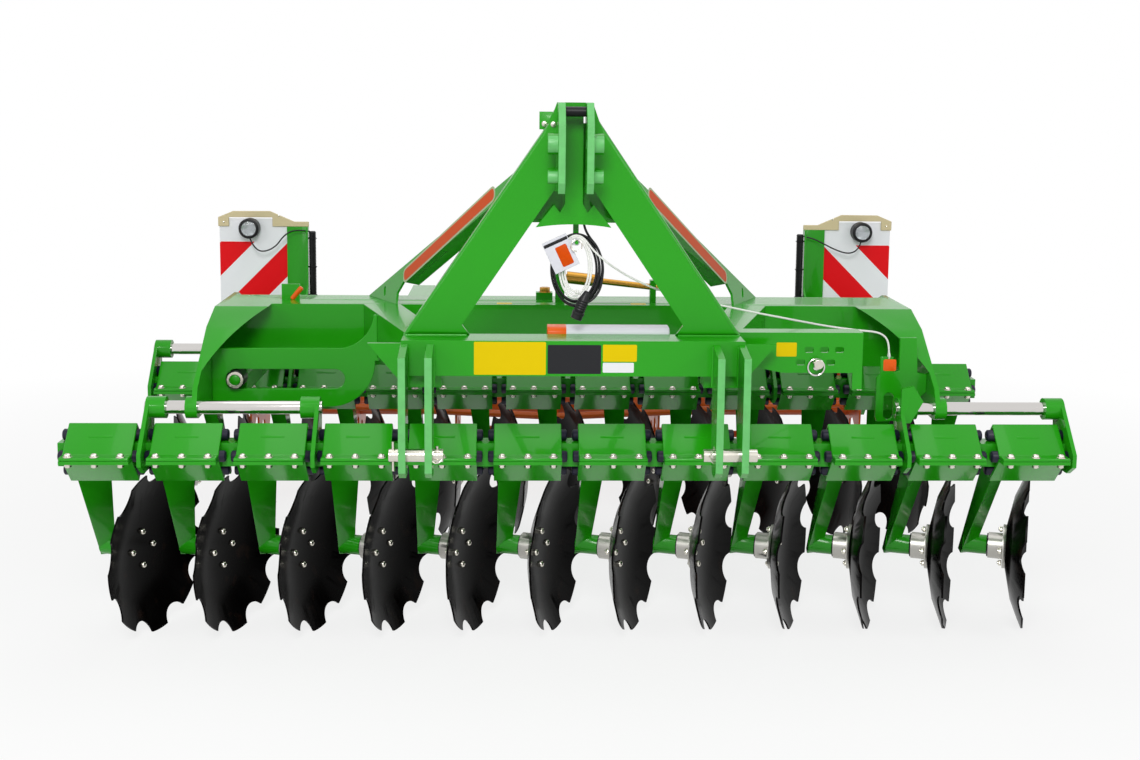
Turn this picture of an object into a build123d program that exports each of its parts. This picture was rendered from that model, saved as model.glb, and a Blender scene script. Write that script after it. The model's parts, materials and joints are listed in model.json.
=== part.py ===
from build123d import *
from math import cos, pi, radians, sin, sqrt, tan
import os

os.makedirs("parts", exist_ok=True)

# Mounted disc harrow with two rows of notched discs and a cage roller.
# Millimetres. +X is to the right in the front view, +Y points to the rear, +Z is up.
# The discs' lower rims touch z = 0.

# Overall layout, lengths along Y from the front beam's middle
HITCH_REACH = 365.0
ROW_SPACING = 1000.0
MAIN_BEAM_OFFSET = 550.0
ROLLER_OFFSET = 1895.0
ROLLER_RADIUS = 260.0
FRONT_Y = (HITCH_REACH - ROLLER_OFFSET - ROLLER_RADIUS) / 2
REAR_Y = FRONT_Y + ROW_SPACING
MAIN_Y = FRONT_Y + MAIN_BEAM_OFFSET
ROLLER_Y = FRONT_Y + ROLLER_OFFSET
HITCH_FRONT_Y = FRONT_Y - HITCH_REACH

# Fits between pieces
RUNNING_FIT = 0.1
SEAT_FIT = 0.05

# Disc rows
DISCS_PER_ROW = 12
ROW_SHIFT = 15.0
FRAME_X = -ROW_SHIFT
DISC_PITCH = 250.0
BEAM_SIDE = 70.0
BEAM_Z = 620.0
BEAM_LENGTH = 3000.0
CLAMP_LENGTH = 200.0
CLAMP_HALF_DIAGONAL = 88.0
CLAMP_WALL = 8.0
FLANGE_REACH = 30.0
FLANGE_THICKNESS = 10.0
CORD_PROUD = 10.0

# Discs and hubs
DISC_RADIUS = 255.0
DISC_THICKNESS = 6.0
DISC_FLAT_RADIUS = 70.0
DISC_MIDDLE_RADIUS = 165.0
DISC_MIDDLE_DEPTH = 20.0
DISC_DEPTH = 58.0
NOTCH_COUNT = 9
NOTCH_RADIUS = 52.0
NOTCH_CENTRE_RADIUS = 272.0
FLANGE_RADIUS = 70.0
HUB_FLANGE_THICKNESS = 10.0
HUB_RADIUS = 41.5
HUB_LENGTH = 55.0
AXLE_RADIUS = 20.0
AXLE_END_GAP = 2.0
HUB_FLOOR = 8.0
HUB_FACE_GAP = 5.0
DISC_BACK = 225.0
DISC_SIDE = 40.0

# Disc arms: a three-sided section under the clamp tapers to another one around the axle.
# Corners are (X towards the disc, Y), from the clamp's middle at the top and from the axle's line at the foot
ARM_SIDE = 85.0
ARM_TOP_Z = BEAM_Z - 8.0
ARM_FOOT_Z = 222.0
ARM_TOP = [(-85, -42), (-4, 75), (-85, 86)]
ARM_FOOT = [(-95, -8), (-50, 2), (-88, 42)]
ARM_BOSS_RADIUS = 31.0

# Slide bars that carry the rows
BAR_RADIUS = 20.0
BAR_DY = 45.0
BAR_DZ = 125.0
BAR_OVERHANG = 12.0
CARRIER_THICKNESS = 12.0
COLLAR_RADIUS = 33.0
COLLAR_LENGTH = 45.0

# Main beam and side plates
MAIN_LENGTH = 2210.0
MAIN_DEPTH = 210.0
MAIN_HEIGHT = 200.0
MAIN_TOP = 1000.0
SIDE_THICKNESS = 15.0
RING_RADIUS = 33.0
RING_LENGTH = 35.0
COVER_WIDTH = 155.0
COVER_FOOT_Z = 846.0
COVER_THICKNESS = 10.0

# Headstock
CROSS_LENGTH = 960.0
CROSS_DEPTH = 120.0
CROSS_HEIGHT = 100.0
CROSS_OFFSET = -195.0
LINK_SPREAD = 870.0
LINK_GAP = 52.0
LINK_PLATE = 20.0
LINK_PIN_RADIUS = 18.0
LINK_PIN_LENGTH = 150.0
LINK_PIN_Z = 690.0
LINK_PIN_OFFSET = -320.0
MAST_TOP = 1658.0
MAST_FACE_OFFSET = -160.0
MAST_PLATE = 12.0
MAST_FLANGE = 60.0
MAST_FOLD_RADIUS = 12.0
TOP_GAP = 58.0
TOP_PLATE = 20.0
TOP_PLATE_REACH = 135.0
TOP_PLATE_BOTTOM = 1410.0
TOP_HOLE_OFFSET = -240.0
UPPER_HOLE_Z = 1545.0
LOWER_HOLE_Z = 1455.0
UPPER_HOLE_RADIUS = 16.0
LOWER_HOLE_RADIUS = 12.75
UPPER_BOSS_RADIUS = 29.0
LOWER_BOSS_RADIUS = 20.0
BOSS_LENGTH = 28.0

# Rear frame and roller
REAR_TUBE = 80.0
REAR_TUBE_OFFSET = 1745.0
REAR_TUBE_Z = 760.0
REAR_TUBE_LENGTH = 2700.0
REAR_ARM_X = 550.0
REAR_ARM_WIDTH = 90.0
REAR_ARM_HEIGHT = 100.0
HANGER_X = 1320.0
HANGER_THICKNESS = 15.0
ROLLER_Z = 360.0
ROLLER_LENGTH = 2580.0
ROLLER_BARS = 10
ROLLER_BAR_RADIUS = 15.0
ROLLER_DISCS = 7
ROLLER_DISC_PITCH = 420.0
ROLLER_DISC_THICKNESS = 8.0
ROLLER_RIM_RADIUS = 236.0
ROLLER_WINDOWS = 5
ROLLER_WINDOW_RADIUS = 55.0
ROLLER_WINDOW_CIRCLE = 135.0
ROLLER_TUBE_RADIUS = 45.0
ROLLER_SHAFT_RADIUS = 20.0
ROLLER_TWIST = 14.0

# Warning boards and lamps
BOARD_WIDTH = 282.0
BOARD_HEIGHT = 423.0
BOARD_THICKNESS = 3.0
BOARD_OUTER_X = 1420.0
BOARD_TOP = 1150.0
POST_WIDTH = 92.0
POST_THICKNESS = 8.0
POST_BACK = FRONT_Y + 1905.0
POST_TOP = 1117.0
LAMP_X = 1290.0
LAMP_RADIUS = 42.0
LAMP_DEPTH = 53.0
LAMP_Z = 1111.0



def save(builder, name):
    """Label a finished piece and write it to its own file."""
    builder.part.label = name
    export_step(builder.part, "parts/" + name + ".step")


def cross_section(x, y, z):
    """Plane across the machine: local x is to the rear, local y is up, it faces +X."""
    return Plane(origin=(x, y, z), x_dir=(0, 1, 0), z_dir=(1, 0, 0))


def face_on(y, middle=FRAME_X):
    """Plane that faces the front: local x is X from the middle, local y is Z, it faces -Y."""
    return Plane(origin=(middle, y, 0), x_dir=(1, 0, 0), z_dir=(0, -1, 0))


def level(z, middle=FRAME_X):
    """Level plane: local x is X from the middle, local y is Y, it faces up."""
    return Plane(origin=(middle, 0, z))


# Each row: name, hand (+1 puts the hubs on the -X side), beam's Y, disc angle in degrees
ROWS = [
    ("front", 1, FRONT_Y, 20.0),
    ("rear", -1, REAR_Y, 15.0),
]

# Where each row's slide bars are, for hand +1: outer carrier plate, inner carrier plate
BAR_SPANS = [(-1250.0, -750.0), (1494.0, 1000.0)]

BEAM_HALF = BEAM_SIDE / 2
SHELL_INSIDE = CLAMP_HALF_DIAGONAL - CLAMP_WALL * sqrt(2)
CORD_RADIUS = (SHELL_INSIDE - BEAM_HALF) / (1 + sqrt(2)) - RUNNING_FIT
CORD_CENTRE = BEAM_HALF + CORD_RADIUS + RUNNING_FIT
CORD_SIDES = 8
FLANGE_TIP = CLAMP_HALF_DIAGONAL + FLANGE_REACH
BAR_Z = BEAM_Z + BAR_DZ

# The bushing that limits the rear row's travel, and the plate with its slot
BUSHING_X = -1031.0
BUSHING_Z = 792.0
BUSHING_RADIUS = 29.0
BUSHING_FRONT = FRONT_Y + 225.0
BUSHING_BACK = FRONT_Y + 290.0
SLOT_TRAVEL = 306.0
SLOT_CLEARANCE = 2.0
SLOT_PLATE_THICKNESS = 15.0
SLOT_PLATE_OFFSET = 245.0
STEM_WIDTH = 50.0
STEM_BOTTOM = 737.0
STEM_TOP = 793.0
STEM_WALL = 12.0
STEM_HEAD = 15.0
STEM_HEAD_TOP = 815.0

# Plate that stands beside the front row's inner right carrier
WING_BACK = 3.0
WING_THICKNESS = 10.0


def shell_outline(side):
    """Half of a diamond clamp with its two flanges; side +1 is the upper half."""
    half = CLAMP_HALF_DIAGONAL
    return [
        (-FLANGE_TIP, 0),
        (-FLANGE_TIP, side * FLANGE_THICKNESS),
        (-half + FLANGE_THICKNESS, side * FLANGE_THICKNESS),
        (0, side * half),
        (half - FLANGE_THICKNESS, side * FLANGE_THICKNESS),
        (FLANGE_TIP, side * FLANGE_THICKNESS),
        (FLANGE_TIP, 0),
        (SHELL_INSIDE, 0),
        (0, side * SHELL_INSIDE),
        (-SHELL_INSIDE, 0),
    ]


def disc_axis(x, beam_y, hand, angle):
    """Plane at the disc's seat on its hub, facing the disc's hollow side."""
    turn = radians(angle)
    return Plane(
        origin=(x + hand * DISC_SIDE, beam_y + DISC_BACK, DISC_RADIUS),
        x_dir=(0, 0, -1),
        z_dir=(hand * cos(turn), -sin(turn), 0),
    )


# Notched disc with its hub, facing up
with BuildPart() as notched_disc:
    with BuildSketch(Plane.XZ):
        with BuildLine():
            Polyline(
                (0, DISC_THICKNESS),
                (DISC_FLAT_RADIUS, DISC_THICKNESS),
                (DISC_MIDDLE_RADIUS, DISC_MIDDLE_DEPTH + DISC_THICKNESS),
                (DISC_RADIUS, DISC_DEPTH + DISC_THICKNESS),
                (DISC_RADIUS, DISC_DEPTH),
                (DISC_MIDDLE_RADIUS, DISC_MIDDLE_DEPTH),
                (DISC_FLAT_RADIUS, 0),
                (FLANGE_RADIUS, -HUB_FLANGE_THICKNESS),
                (HUB_RADIUS, -HUB_FLANGE_THICKNESS),
                (HUB_RADIUS, -HUB_LENGTH),
                (AXLE_RADIUS + RUNNING_FIT, -HUB_LENGTH),
                (AXLE_RADIUS + RUNNING_FIT, -HUB_FLOOR),
                (0, -HUB_FLOOR),
                close=True,
            )
        make_face()
    revolve(axis=Axis.Z)
    with BuildSketch(Plane.XY):
        with PolarLocations(NOTCH_CENTRE_RADIUS, NOTCH_COUNT, start_angle=20):
            Circle(NOTCH_RADIUS)
    extrude(amount=DISC_DEPTH + 2 * DISC_THICKNESS, mode=Mode.SUBTRACT)

for row, hand, beam_y, angle in ROWS:
    row_x = -hand * ROW_SHIFT
    clamp_places = [row_x + (i - (DISCS_PER_ROW - 1) / 2) * DISC_PITCH for i in range(DISCS_PER_ROW)]

    # Square beam with the carrier plates and collars that hold the slide bars
    with BuildPart() as row_beam:
        with BuildSketch(cross_section(row_x - BEAM_LENGTH / 2, beam_y, BEAM_Z)):
            Rectangle(BEAM_SIDE, BEAM_SIDE)
        extrude(amount=BEAM_LENGTH)
        if row == "rear":
            inner_x = row_x - BAR_SPANS[1][1] - FRAME_X
            stem_back = REAR_Y - 3
            with BuildSketch(level(STEM_BOTTOM)):
                with Locations((BUSHING_X, (BUSHING_BACK + STEM_HEAD + stem_back) / 2)):
                    Rectangle(STEM_WIDTH, stem_back - BUSHING_BACK - STEM_HEAD)
                with Locations(((BUSHING_X + inner_x) / 2, stem_back - STEM_WALL / 2)):
                    Rectangle(abs(inner_x - BUSHING_X) + CARRIER_THICKNESS, STEM_WALL)
                with Locations((inner_x, stem_back + 25)):
                    Rectangle(CARRIER_THICKNESS, 70)
            extrude(amount=STEM_TOP - STEM_BOTTOM)
            with BuildSketch(face_on(BUSHING_BACK + STEM_HEAD)):
                with Locations((BUSHING_X, (STEM_BOTTOM + STEM_HEAD_TOP) / 2)):
                    Rectangle(STEM_WIDTH, STEM_HEAD_TOP - STEM_BOTTOM)
            extrude(amount=STEM_HEAD)
        else:
            inner_x = row_x + BAR_SPANS[1][1] - FRAME_X
            wing_low = inner_x - CARRIER_THICKNESS / 2
            with BuildSketch(face_on(beam_y + WING_BACK)):
                with BuildLine():
                    Polyline(
                        (wing_low, BAR_Z + 70),
                        (wing_low + 36, BAR_Z + 79),
                        (wing_low + 67, BAR_Z + 32),
                        (wing_low + 30, BAR_Z - 34),
                        (wing_low, BAR_Z - 34),
                        close=True,
                    )
                make_face()
            extrude(amount=WING_THICKNESS)
        for outer, inner in BAR_SPANS:
            for place, towards in ((outer, inner), (inner, outer)):
                x = row_x + hand * place
                step = hand * (1 if towards > place else -1)
                with BuildSketch(cross_section(x - CARRIER_THICKNESS / 2, beam_y, BEAM_Z)):
                    with BuildLine():
                        Polyline(
                            (-100, -22),
                            (-100, 15),
                            (14, 138),
                            (76, 138),
                            (78, 100),
                            (62, -30),
                            (40, -50),
                            (-55, -50),
                            close=True,
                        )
                    make_face()
                    with Locations((BAR_DY, BAR_DZ)):
                        Circle(COLLAR_RADIUS)
                extrude(amount=CARRIER_THICKNESS)
                with BuildSketch(cross_section(x, beam_y, BEAM_Z)):
                    with Locations((BAR_DY, BAR_DZ)):
                        Circle(COLLAR_RADIUS)
                extrude(amount=step * (CARRIER_THICKNESS / 2 + COLLAR_LENGTH))
            low = row_x + min(hand * outer, hand * inner) - BAR_OVERHANG
            with BuildSketch(cross_section(low - 1, beam_y, BEAM_Z)):
                with Locations((BAR_DY, BAR_DZ)):
                    Circle(BAR_RADIUS + SEAT_FIT)
            extrude(amount=abs(outer - inner) + 2 * BAR_OVERHANG + 2, mode=Mode.SUBTRACT)
    save(row_beam, row + "_row_beam")

    # Bright steel slide bars
    with BuildPart() as slide_bars:
        for outer, inner in BAR_SPANS:
            low = row_x + min(hand * outer, hand * inner) - BAR_OVERHANG
            with BuildSketch(cross_section(low, beam_y, BEAM_Z)):
                with Locations((BAR_DY, BAR_DZ)):
                    Circle(BAR_RADIUS)
            extrude(amount=abs(outer - inner) + 2 * BAR_OVERHANG)
    save(slide_bars, row + "_slide_bars")

    # Upper clamp shells
    with BuildPart() as upper_clamps:
        for x in clamp_places:
            with BuildSketch(cross_section(x - CLAMP_LENGTH / 2, beam_y, BEAM_Z)):
                with BuildLine():
                    Polyline(*shell_outline(1), close=True)
                make_face()
            extrude(amount=CLAMP_LENGTH)
    save(upper_clamps, row + "_upper_clamps")

    # Lower clamp shell with its arm, boss and stub axle, made once at X = 0
    seat = disc_axis(0, beam_y, hand, angle)
    reach = (DISC_SIDE + ARM_SIDE) / cos(radians(angle))
    axle_y = beam_y + DISC_BACK + reach * sin(radians(angle))
    with BuildPart() as arm:
        for z, corners, middle_y in ((ARM_TOP_Z, ARM_TOP, beam_y), (ARM_FOOT_Z, ARM_FOOT, axle_y)):
            with BuildSketch(level(z, middle=0)):
                with BuildLine():
                    Polyline(*[(hand * across, middle_y + back) for across, back in corners], close=True)
                make_face()
        loft(ruled=True)
        with BuildSketch(cross_section(-CLAMP_LENGTH / 2, beam_y, BEAM_Z)):
            RegularPolygon(SHELL_INSIDE, 4)
        extrude(amount=CLAMP_LENGTH, mode=Mode.SUBTRACT)
        with BuildSketch(cross_section(-CLAMP_LENGTH / 2, beam_y, BEAM_Z)):
            with BuildLine():
                Polyline(*shell_outline(-1), close=True)
            make_face()
        extrude(amount=CLAMP_LENGTH)
        with BuildSketch(seat.offset(-reach)):
            Circle(ARM_BOSS_RADIUS)
        extrude(amount=reach - HUB_LENGTH - HUB_FACE_GAP)
        with BuildSketch(seat.offset(-reach)):
            Circle(AXLE_RADIUS)
        extrude(amount=reach - HUB_FLOOR - AXLE_END_GAP)
    with BuildPart() as arms:
        for x in clamp_places:
            add(arm.part.moved(Location((x, 0, 0))))
    save(arms, row + "_arms")

    # Rubber cords, pressed flat-sided in the four corners of each clamp
    with BuildPart() as cords:
        cord_length = CLAMP_LENGTH + 2 * CORD_PROUD
        for x in clamp_places:
            with BuildSketch(cross_section(x - cord_length / 2, beam_y, BEAM_Z)):
                with PolarLocations(CORD_CENTRE, 4):
                    RegularPolygon(CORD_RADIUS, CORD_SIDES)
            extrude(amount=cord_length)
    save(cords, row + "_rubber_cords")

    for number, x in enumerate(clamp_places, 1):
        placed = disc_axis(x, beam_y, hand, angle).location * notched_disc.part
        placed.label = "%s_disc_%02d" % (row, number)
        export_step(placed, "parts/" + placed.label + ".step")

# Main beam across the machine, with the brackets that stand on it
ROD_START = (-17.0, 515.0, 1085.0)
ROD_RUN = Vector(317, 0, -35)
ROD_RADIUS = 10.0
ROD_SLEEVE_RADIUS = 20.0
rod_line = Plane(origin=(FRAME_X + ROD_START[0], FRONT_Y + ROD_START[1], ROD_START[2]), z_dir=ROD_RUN)
# Brackets on the beam: X, width, distance behind the front beam, depth, height
BEAM_BRACKETS = [
    (-17.0, 30.0, 515.0, 30.0, 105.0),
    (290.0, 20.0, 515.0, 30.0, 75.0),
    (-67.0, 55.0, 580.0, 40.0, 24.0),
    (-904.0, 59.0, 550.0, 8.0, 51.0),
]
with BuildPart() as main_beam:
    with BuildSketch(level(MAIN_TOP - MAIN_HEIGHT)):
        with Locations((0, MAIN_Y)):
            Rectangle(MAIN_LENGTH, MAIN_DEPTH)
    extrude(amount=MAIN_HEIGHT)
    for x, width, offset_y, depth, height in BEAM_BRACKETS:
        with BuildSketch(level(MAIN_TOP)):
            with Locations((x, FRONT_Y + offset_y)):
                Rectangle(width, depth)
        extrude(amount=height)
    with BuildSketch(rod_line.offset(-40)):
        Circle(ROD_RADIUS + SEAT_FIT)
    extrude(amount=400, mode=Mode.SUBTRACT)
save(main_beam, "main_beam")

with BuildPart() as spindle_rod:
    with BuildSketch(rod_line.offset(-23)):
        Circle(ROD_RADIUS)
    extrude(amount=355)
    with BuildSketch(rod_line.offset(22)):
        Circle(ROD_SLEEVE_RADIUS)
    extrude(amount=100)
save(spindle_rod, "spindle_rod")

# Side plates with the bearing rings that the slide bars run in
with BuildPart() as side_plates:
    for side in (-1, 1):
        inner_x = FRAME_X + side * MAIN_LENGTH / 2
        ring_centres = [(FRONT_Y + BAR_DY, BAR_Z), (REAR_Y + BAR_DY, BAR_Z)]
        with BuildSketch(cross_section(inner_x, 0, 0)):
            with BuildLine():
                Polyline(
                    (FRONT_Y + BAR_DY - RING_RADIUS, BAR_Z + 5),
                    (FRONT_Y + BAR_DY - 10, BAR_Z + 60),
                    (FRONT_Y + 250, MAIN_TOP - 45),
                    (FRONT_Y + 385, MAIN_TOP),
                    (FRONT_Y + 715, MAIN_TOP),
                    (FRONT_Y + 850, MAIN_TOP - 45),
                    (REAR_Y + BAR_DY + 10, BAR_Z + 60),
                    (REAR_Y + BAR_DY + RING_RADIUS, BAR_Z + 5),
                    (REAR_Y + BAR_DY, BAR_Z - RING_RADIUS),
                    (REAR_Y - 150, BAR_Z - RING_RADIUS + 10),
                    (FRONT_Y + 655, MAIN_TOP - MAIN_HEIGHT - 20),
                    (FRONT_Y + 445, MAIN_TOP - MAIN_HEIGHT - 20),
                    (FRONT_Y + 290, BAR_Z - RING_RADIUS + 10),
                    (FRONT_Y + BAR_DY, BAR_Z - RING_RADIUS),
                    close=True,
                )
            make_face()
            with Locations(*ring_centres):
                Circle(RING_RADIUS)
        extrude(amount=side * SIDE_THICKNESS)
        with BuildSketch(cross_section(inner_x, 0, 0)):
            with Locations(*ring_centres):
                Circle(RING_RADIUS)
        extrude(amount=side * RING_LENGTH)
        # Cover from the plate's upper front edge inwards, cut away in a curve
        with BuildSketch(cross_section(inner_x, 0, 0)):
            with BuildLine():
                Polyline(
                    (FRONT_Y + BAR_DY - 10, BAR_Z + 60),
                    (FRONT_Y + 250, MAIN_TOP - 45),
                    (FRONT_Y + 385, MAIN_TOP),
                    (MAIN_Y - MAIN_DEPTH / 2, MAIN_TOP),
                    (MAIN_Y - MAIN_DEPTH / 2, MAIN_TOP - COVER_THICKNESS),
                    (FRONT_Y + 387, MAIN_TOP - COVER_THICKNESS),
                    (FRONT_Y + 255, MAIN_TOP - 45 - COVER_THICKNESS),
                    (FRONT_Y + BAR_DY - 3, BAR_Z + 53),
                    close=True,
                )
            make_face()
        extrude(amount=-side * COVER_WIDTH)
        plate_x = side * MAIN_LENGTH / 2
        inner_edge = plate_x - side * COVER_WIDTH
        with BuildSketch(face_on(MAIN_Y - MAIN_DEPTH / 2)):
            with BuildLine():
                ThreePointArc(
                    (inner_edge, MAIN_TOP),
                    (plate_x - side * 59, MAIN_TOP - 74),
                    (plate_x, COVER_FOOT_Z),
                )
                Polyline(
                    (plate_x, COVER_FOOT_Z),
                    (plate_x, BAR_Z),
                    (inner_edge - side * 10, BAR_Z),
                    (inner_edge - side * 10, MAIN_TOP + 10),
                    (inner_edge, MAIN_TOP + 10),
                    (inner_edge, MAIN_TOP),
                )
            make_face()
        extrude(amount=MAIN_Y - MAIN_DEPTH / 2 - FRONT_Y, mode=Mode.SUBTRACT)
        with BuildSketch(cross_section(inner_x - side, 0, 0)):
            with Locations(*ring_centres):
                Circle(BAR_RADIUS + RUNNING_FIT)
        extrude(amount=side * (RING_LENGTH + 2), mode=Mode.SUBTRACT)
save(side_plates, "side_plates")

# Headstock's cross-member and its two diagonal arms to the main beam
CROSS_Y = FRONT_Y + CROSS_OFFSET
CROSS_BACK = CROSS_Y + CROSS_DEPTH / 2
CROSS_FRONT = CROSS_Y - CROSS_DEPTH / 2
ARM_BOTTOM = MAIN_TOP - 140.0
DIAGONAL_OUTER_X = 655.0
GUSSET_THICKNESS = 12.0


def diagonal_outline(side):
    """Plan of one diagonal arm; side +1 is the right one."""
    return [
        (side * CROSS_LENGTH / 2, CROSS_FRONT + 40),
        (side * CROSS_LENGTH / 2, CROSS_BACK + 20),
        (side * DIAGONAL_OUTER_X, MAIN_Y - MAIN_DEPTH / 2),
        (side * (DIAGONAL_OUTER_X - 120), MAIN_Y - MAIN_DEPTH / 2),
        (side * (CROSS_LENGTH / 2 - 110), CROSS_BACK - 1),
        (side * (CROSS_LENGTH / 2 - 110), CROSS_FRONT + 40),
    ]


# Plate with the long slot, in front of the main beam on the left
SLOT_HALF = BUSHING_RADIUS + SLOT_CLEARANCE
with BuildPart() as slot_plate:
    with BuildSketch(face_on(FRONT_Y + SLOT_PLATE_OFFSET + SLOT_PLATE_THICKNESS)):
        with BuildLine():
            Polyline((-MAIN_LENGTH / 2, 715), (-742, 703))
            ThreePointArc((-742, 703), (-645, 742), (-600, 850))
            Polyline((-600, 850), (-585, 850), (-585, 995), (-603, 995))
            ThreePointArc((-603, 995), (-637, 922), (-705, 889))
            Polyline((-705, 889), (-MAIN_LENGTH / 2, 889), (-MAIN_LENGTH / 2, 715))
        make_face()
        with Locations((BUSHING_X + SLOT_TRAVEL / 2, BUSHING_Z)):
            SlotOverall(SLOT_TRAVEL + 2 * SLOT_HALF, 2 * SLOT_HALF, mode=Mode.SUBTRACT)
    extrude(amount=SLOT_PLATE_THICKNESS)
    with BuildSketch(level(ARM_BOTTOM)):
        with BuildLine():
            Polyline(*diagonal_outline(-1), close=True)
        make_face()
    extrude(amount=MAIN_TOP - ARM_BOTTOM, mode=Mode.SUBTRACT)
save(slot_plate, "slot_plate")

# Black bushing that rides in the slot, on the rear row's stem
with BuildPart() as bushing:
    with BuildSketch(face_on(BUSHING_BACK)):
        with Locations((BUSHING_X, BUSHING_Z)):
            Circle(BUSHING_RADIUS)
    extrude(amount=BUSHING_BACK - BUSHING_FRONT)
save(bushing, "offset_bushing")

with BuildPart() as headstock_beam:
    with BuildSketch(level(MAIN_TOP - CROSS_HEIGHT)):
        with Locations((0, CROSS_Y)):
            Rectangle(CROSS_LENGTH, CROSS_DEPTH)
    extrude(amount=CROSS_HEIGHT)
    for side in (-1, 1):
        with BuildSketch(level(ARM_BOTTOM)):
            with BuildLine():
                Polyline(*diagonal_outline(side), close=True)
            make_face()
        extrude(amount=MAIN_TOP - ARM_BOTTOM)
        with BuildSketch(face_on(CROSS_Y + 21)):
            with BuildLine():
                Polyline(
                    (side * CROSS_LENGTH / 2, ARM_BOTTOM),
                    (side * CROSS_LENGTH / 2, MAIN_TOP - 20),
                    (side * (CROSS_LENGTH / 2 + 100), MAIN_TOP - 20),
                    close=True,
                )
            make_face()
        extrude(amount=GUSSET_THICKNESS)
save(headstock_beam, "headstock_beam")

# Mast plate with its window, turned back along both outer edges, and its box-shaped head
MAST_Y = FRONT_Y + MAST_FACE_OFFSET
MAST_BACK = MAST_Y + MAST_PLATE
HEAD_BACK = MAST_Y + MAST_FLANGE
HEAD_BOTTOM = 1318.0
HEAD_FLOOR = 1330.0
HEAD_TOP = 1600.0
SLOT_TOP = 1640.0
PEG_X = 8.0
PEG_Z = 1266.7
PEG_RADIUS = 5.0
PEG_FRONT = FRONT_Y - 176.0
TAB_FRONT = FRONT_Y - 110.0
TAB_THICKNESS = 8.0
MAST_FOOT_X = 482.0
MAST_OUTLINE = [
    (-MAST_FOOT_X, MAIN_TOP),
    (-68, 1608),
    (-50, MAST_TOP),
    (50, MAST_TOP),
    (68, 1608),
    (MAST_FOOT_X, MAIN_TOP),
]
with BuildPart() as mast:
    with BuildSketch(face_on(MAST_Y + MAST_FLANGE)):
        with BuildLine():
            Polyline(*MAST_OUTLINE, close=True)
        make_face()
    extrude(amount=MAST_FLANGE)
    fillet(mast.faces().sort_by(Axis.Y)[0].edges().filter_by(lambda edge: edge.length > 700), MAST_FOLD_RADIUS)
    # Open back: only the turned edges stay behind the plate
    with BuildSketch(face_on(HEAD_BACK)):
        with BuildLine():
            Polyline((-470, MAIN_TOP), (-58, 1602), (-58, MAST_TOP), (58, MAST_TOP), (58, 1602), (470, MAIN_TOP), close=True)
        make_face()
    extrude(amount=MAST_FLANGE - MAST_PLATE, mode=Mode.SUBTRACT)
    with BuildSketch(face_on(MAST_BACK)):
        with BuildLine():
            Polyline(
                (-293, MAIN_TOP),
                (-315, MAIN_TOP + 30),
                (-TOP_GAP / 2 - 29, TOP_PLATE_BOTTOM),
                (-TOP_GAP / 2, TOP_PLATE_BOTTOM),
                (-TOP_GAP / 2, SLOT_TOP),
                (TOP_GAP / 2, SLOT_TOP),
                (TOP_GAP / 2, TOP_PLATE_BOTTOM),
                (TOP_GAP / 2 + 29, TOP_PLATE_BOTTOM),
                (315, MAIN_TOP + 30),
                (293, MAIN_TOP),
                close=True,
            )
        make_face()
    extrude(amount=MAST_PLATE, mode=Mode.SUBTRACT)
    # Back plate and ribs of the head, with its floor
    with BuildSketch(face_on(HEAD_BACK)):
        with BuildLine():
            Polyline((-265, HEAD_BOTTOM), (-73, HEAD_TOP), (73, HEAD_TOP), (265, HEAD_BOTTOM), close=True)
        make_face()
    extrude(amount=MAST_PLATE)
    with BuildSketch(level(TOP_PLATE_BOTTOM + 8)):
        for side in (-1, 1):
            with Locations((side * (TOP_GAP / 2 + 6), (MAST_BACK + HEAD_BACK - MAST_PLATE) / 2)):
                Rectangle(12, HEAD_BACK - MAST_PLATE - MAST_BACK)
    extrude(amount=SLOT_TOP - TOP_PLATE_BOTTOM - 48)
    with BuildSketch(level(HEAD_FLOOR)):
        with Locations((0, (MAST_BACK + HEAD_BACK - MAST_PLATE) / 2)):
            Rectangle(120, HEAD_BACK - MAST_PLATE - MAST_BACK)
    extrude(amount=8)
    # Web behind the slot, spread to a gusset at its foot
    with BuildSketch(face_on(MAST_BACK + MAST_PLATE)):
        with BuildLine():
            Polyline((-107, 1307), (-56, 1371), (-39, 1349), (-25, 1375), (-25, 1655), (25, 1655), (25, 1375))
            Polyline((25, 1375), (39, 1349), (56, 1371), (107, 1307))
            ThreePointArc((107, 1307), (0, 1316), (-107, 1307))
        make_face()
    extrude(amount=MAST_PLATE)
    # Tab and peg that carry the cords, and a small box behind the head
    with BuildSketch(face_on(TAB_FRONT + TAB_THICKNESS)):
        with Locations((PEG_X, (PEG_Z - 8.7 + HEAD_FLOOR) / 2)):
            Rectangle(16, HEAD_FLOOR - PEG_Z + 8.7)
    extrude(amount=TAB_THICKNESS)
    with BuildSketch(face_on(TAB_FRONT + TAB_THICKNESS / 2)):
        with Locations((PEG_X, PEG_Z)):
            Circle(PEG_RADIUS)
    extrude(amount=TAB_FRONT + TAB_THICKNESS / 2 - PEG_FRONT)
    with BuildSketch(face_on(HEAD_BACK + 30)):
        with Locations((-76.5, 1606)):
            Rectangle(43, 50)
    extrude(amount=30)
save(mast, "mast")

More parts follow.
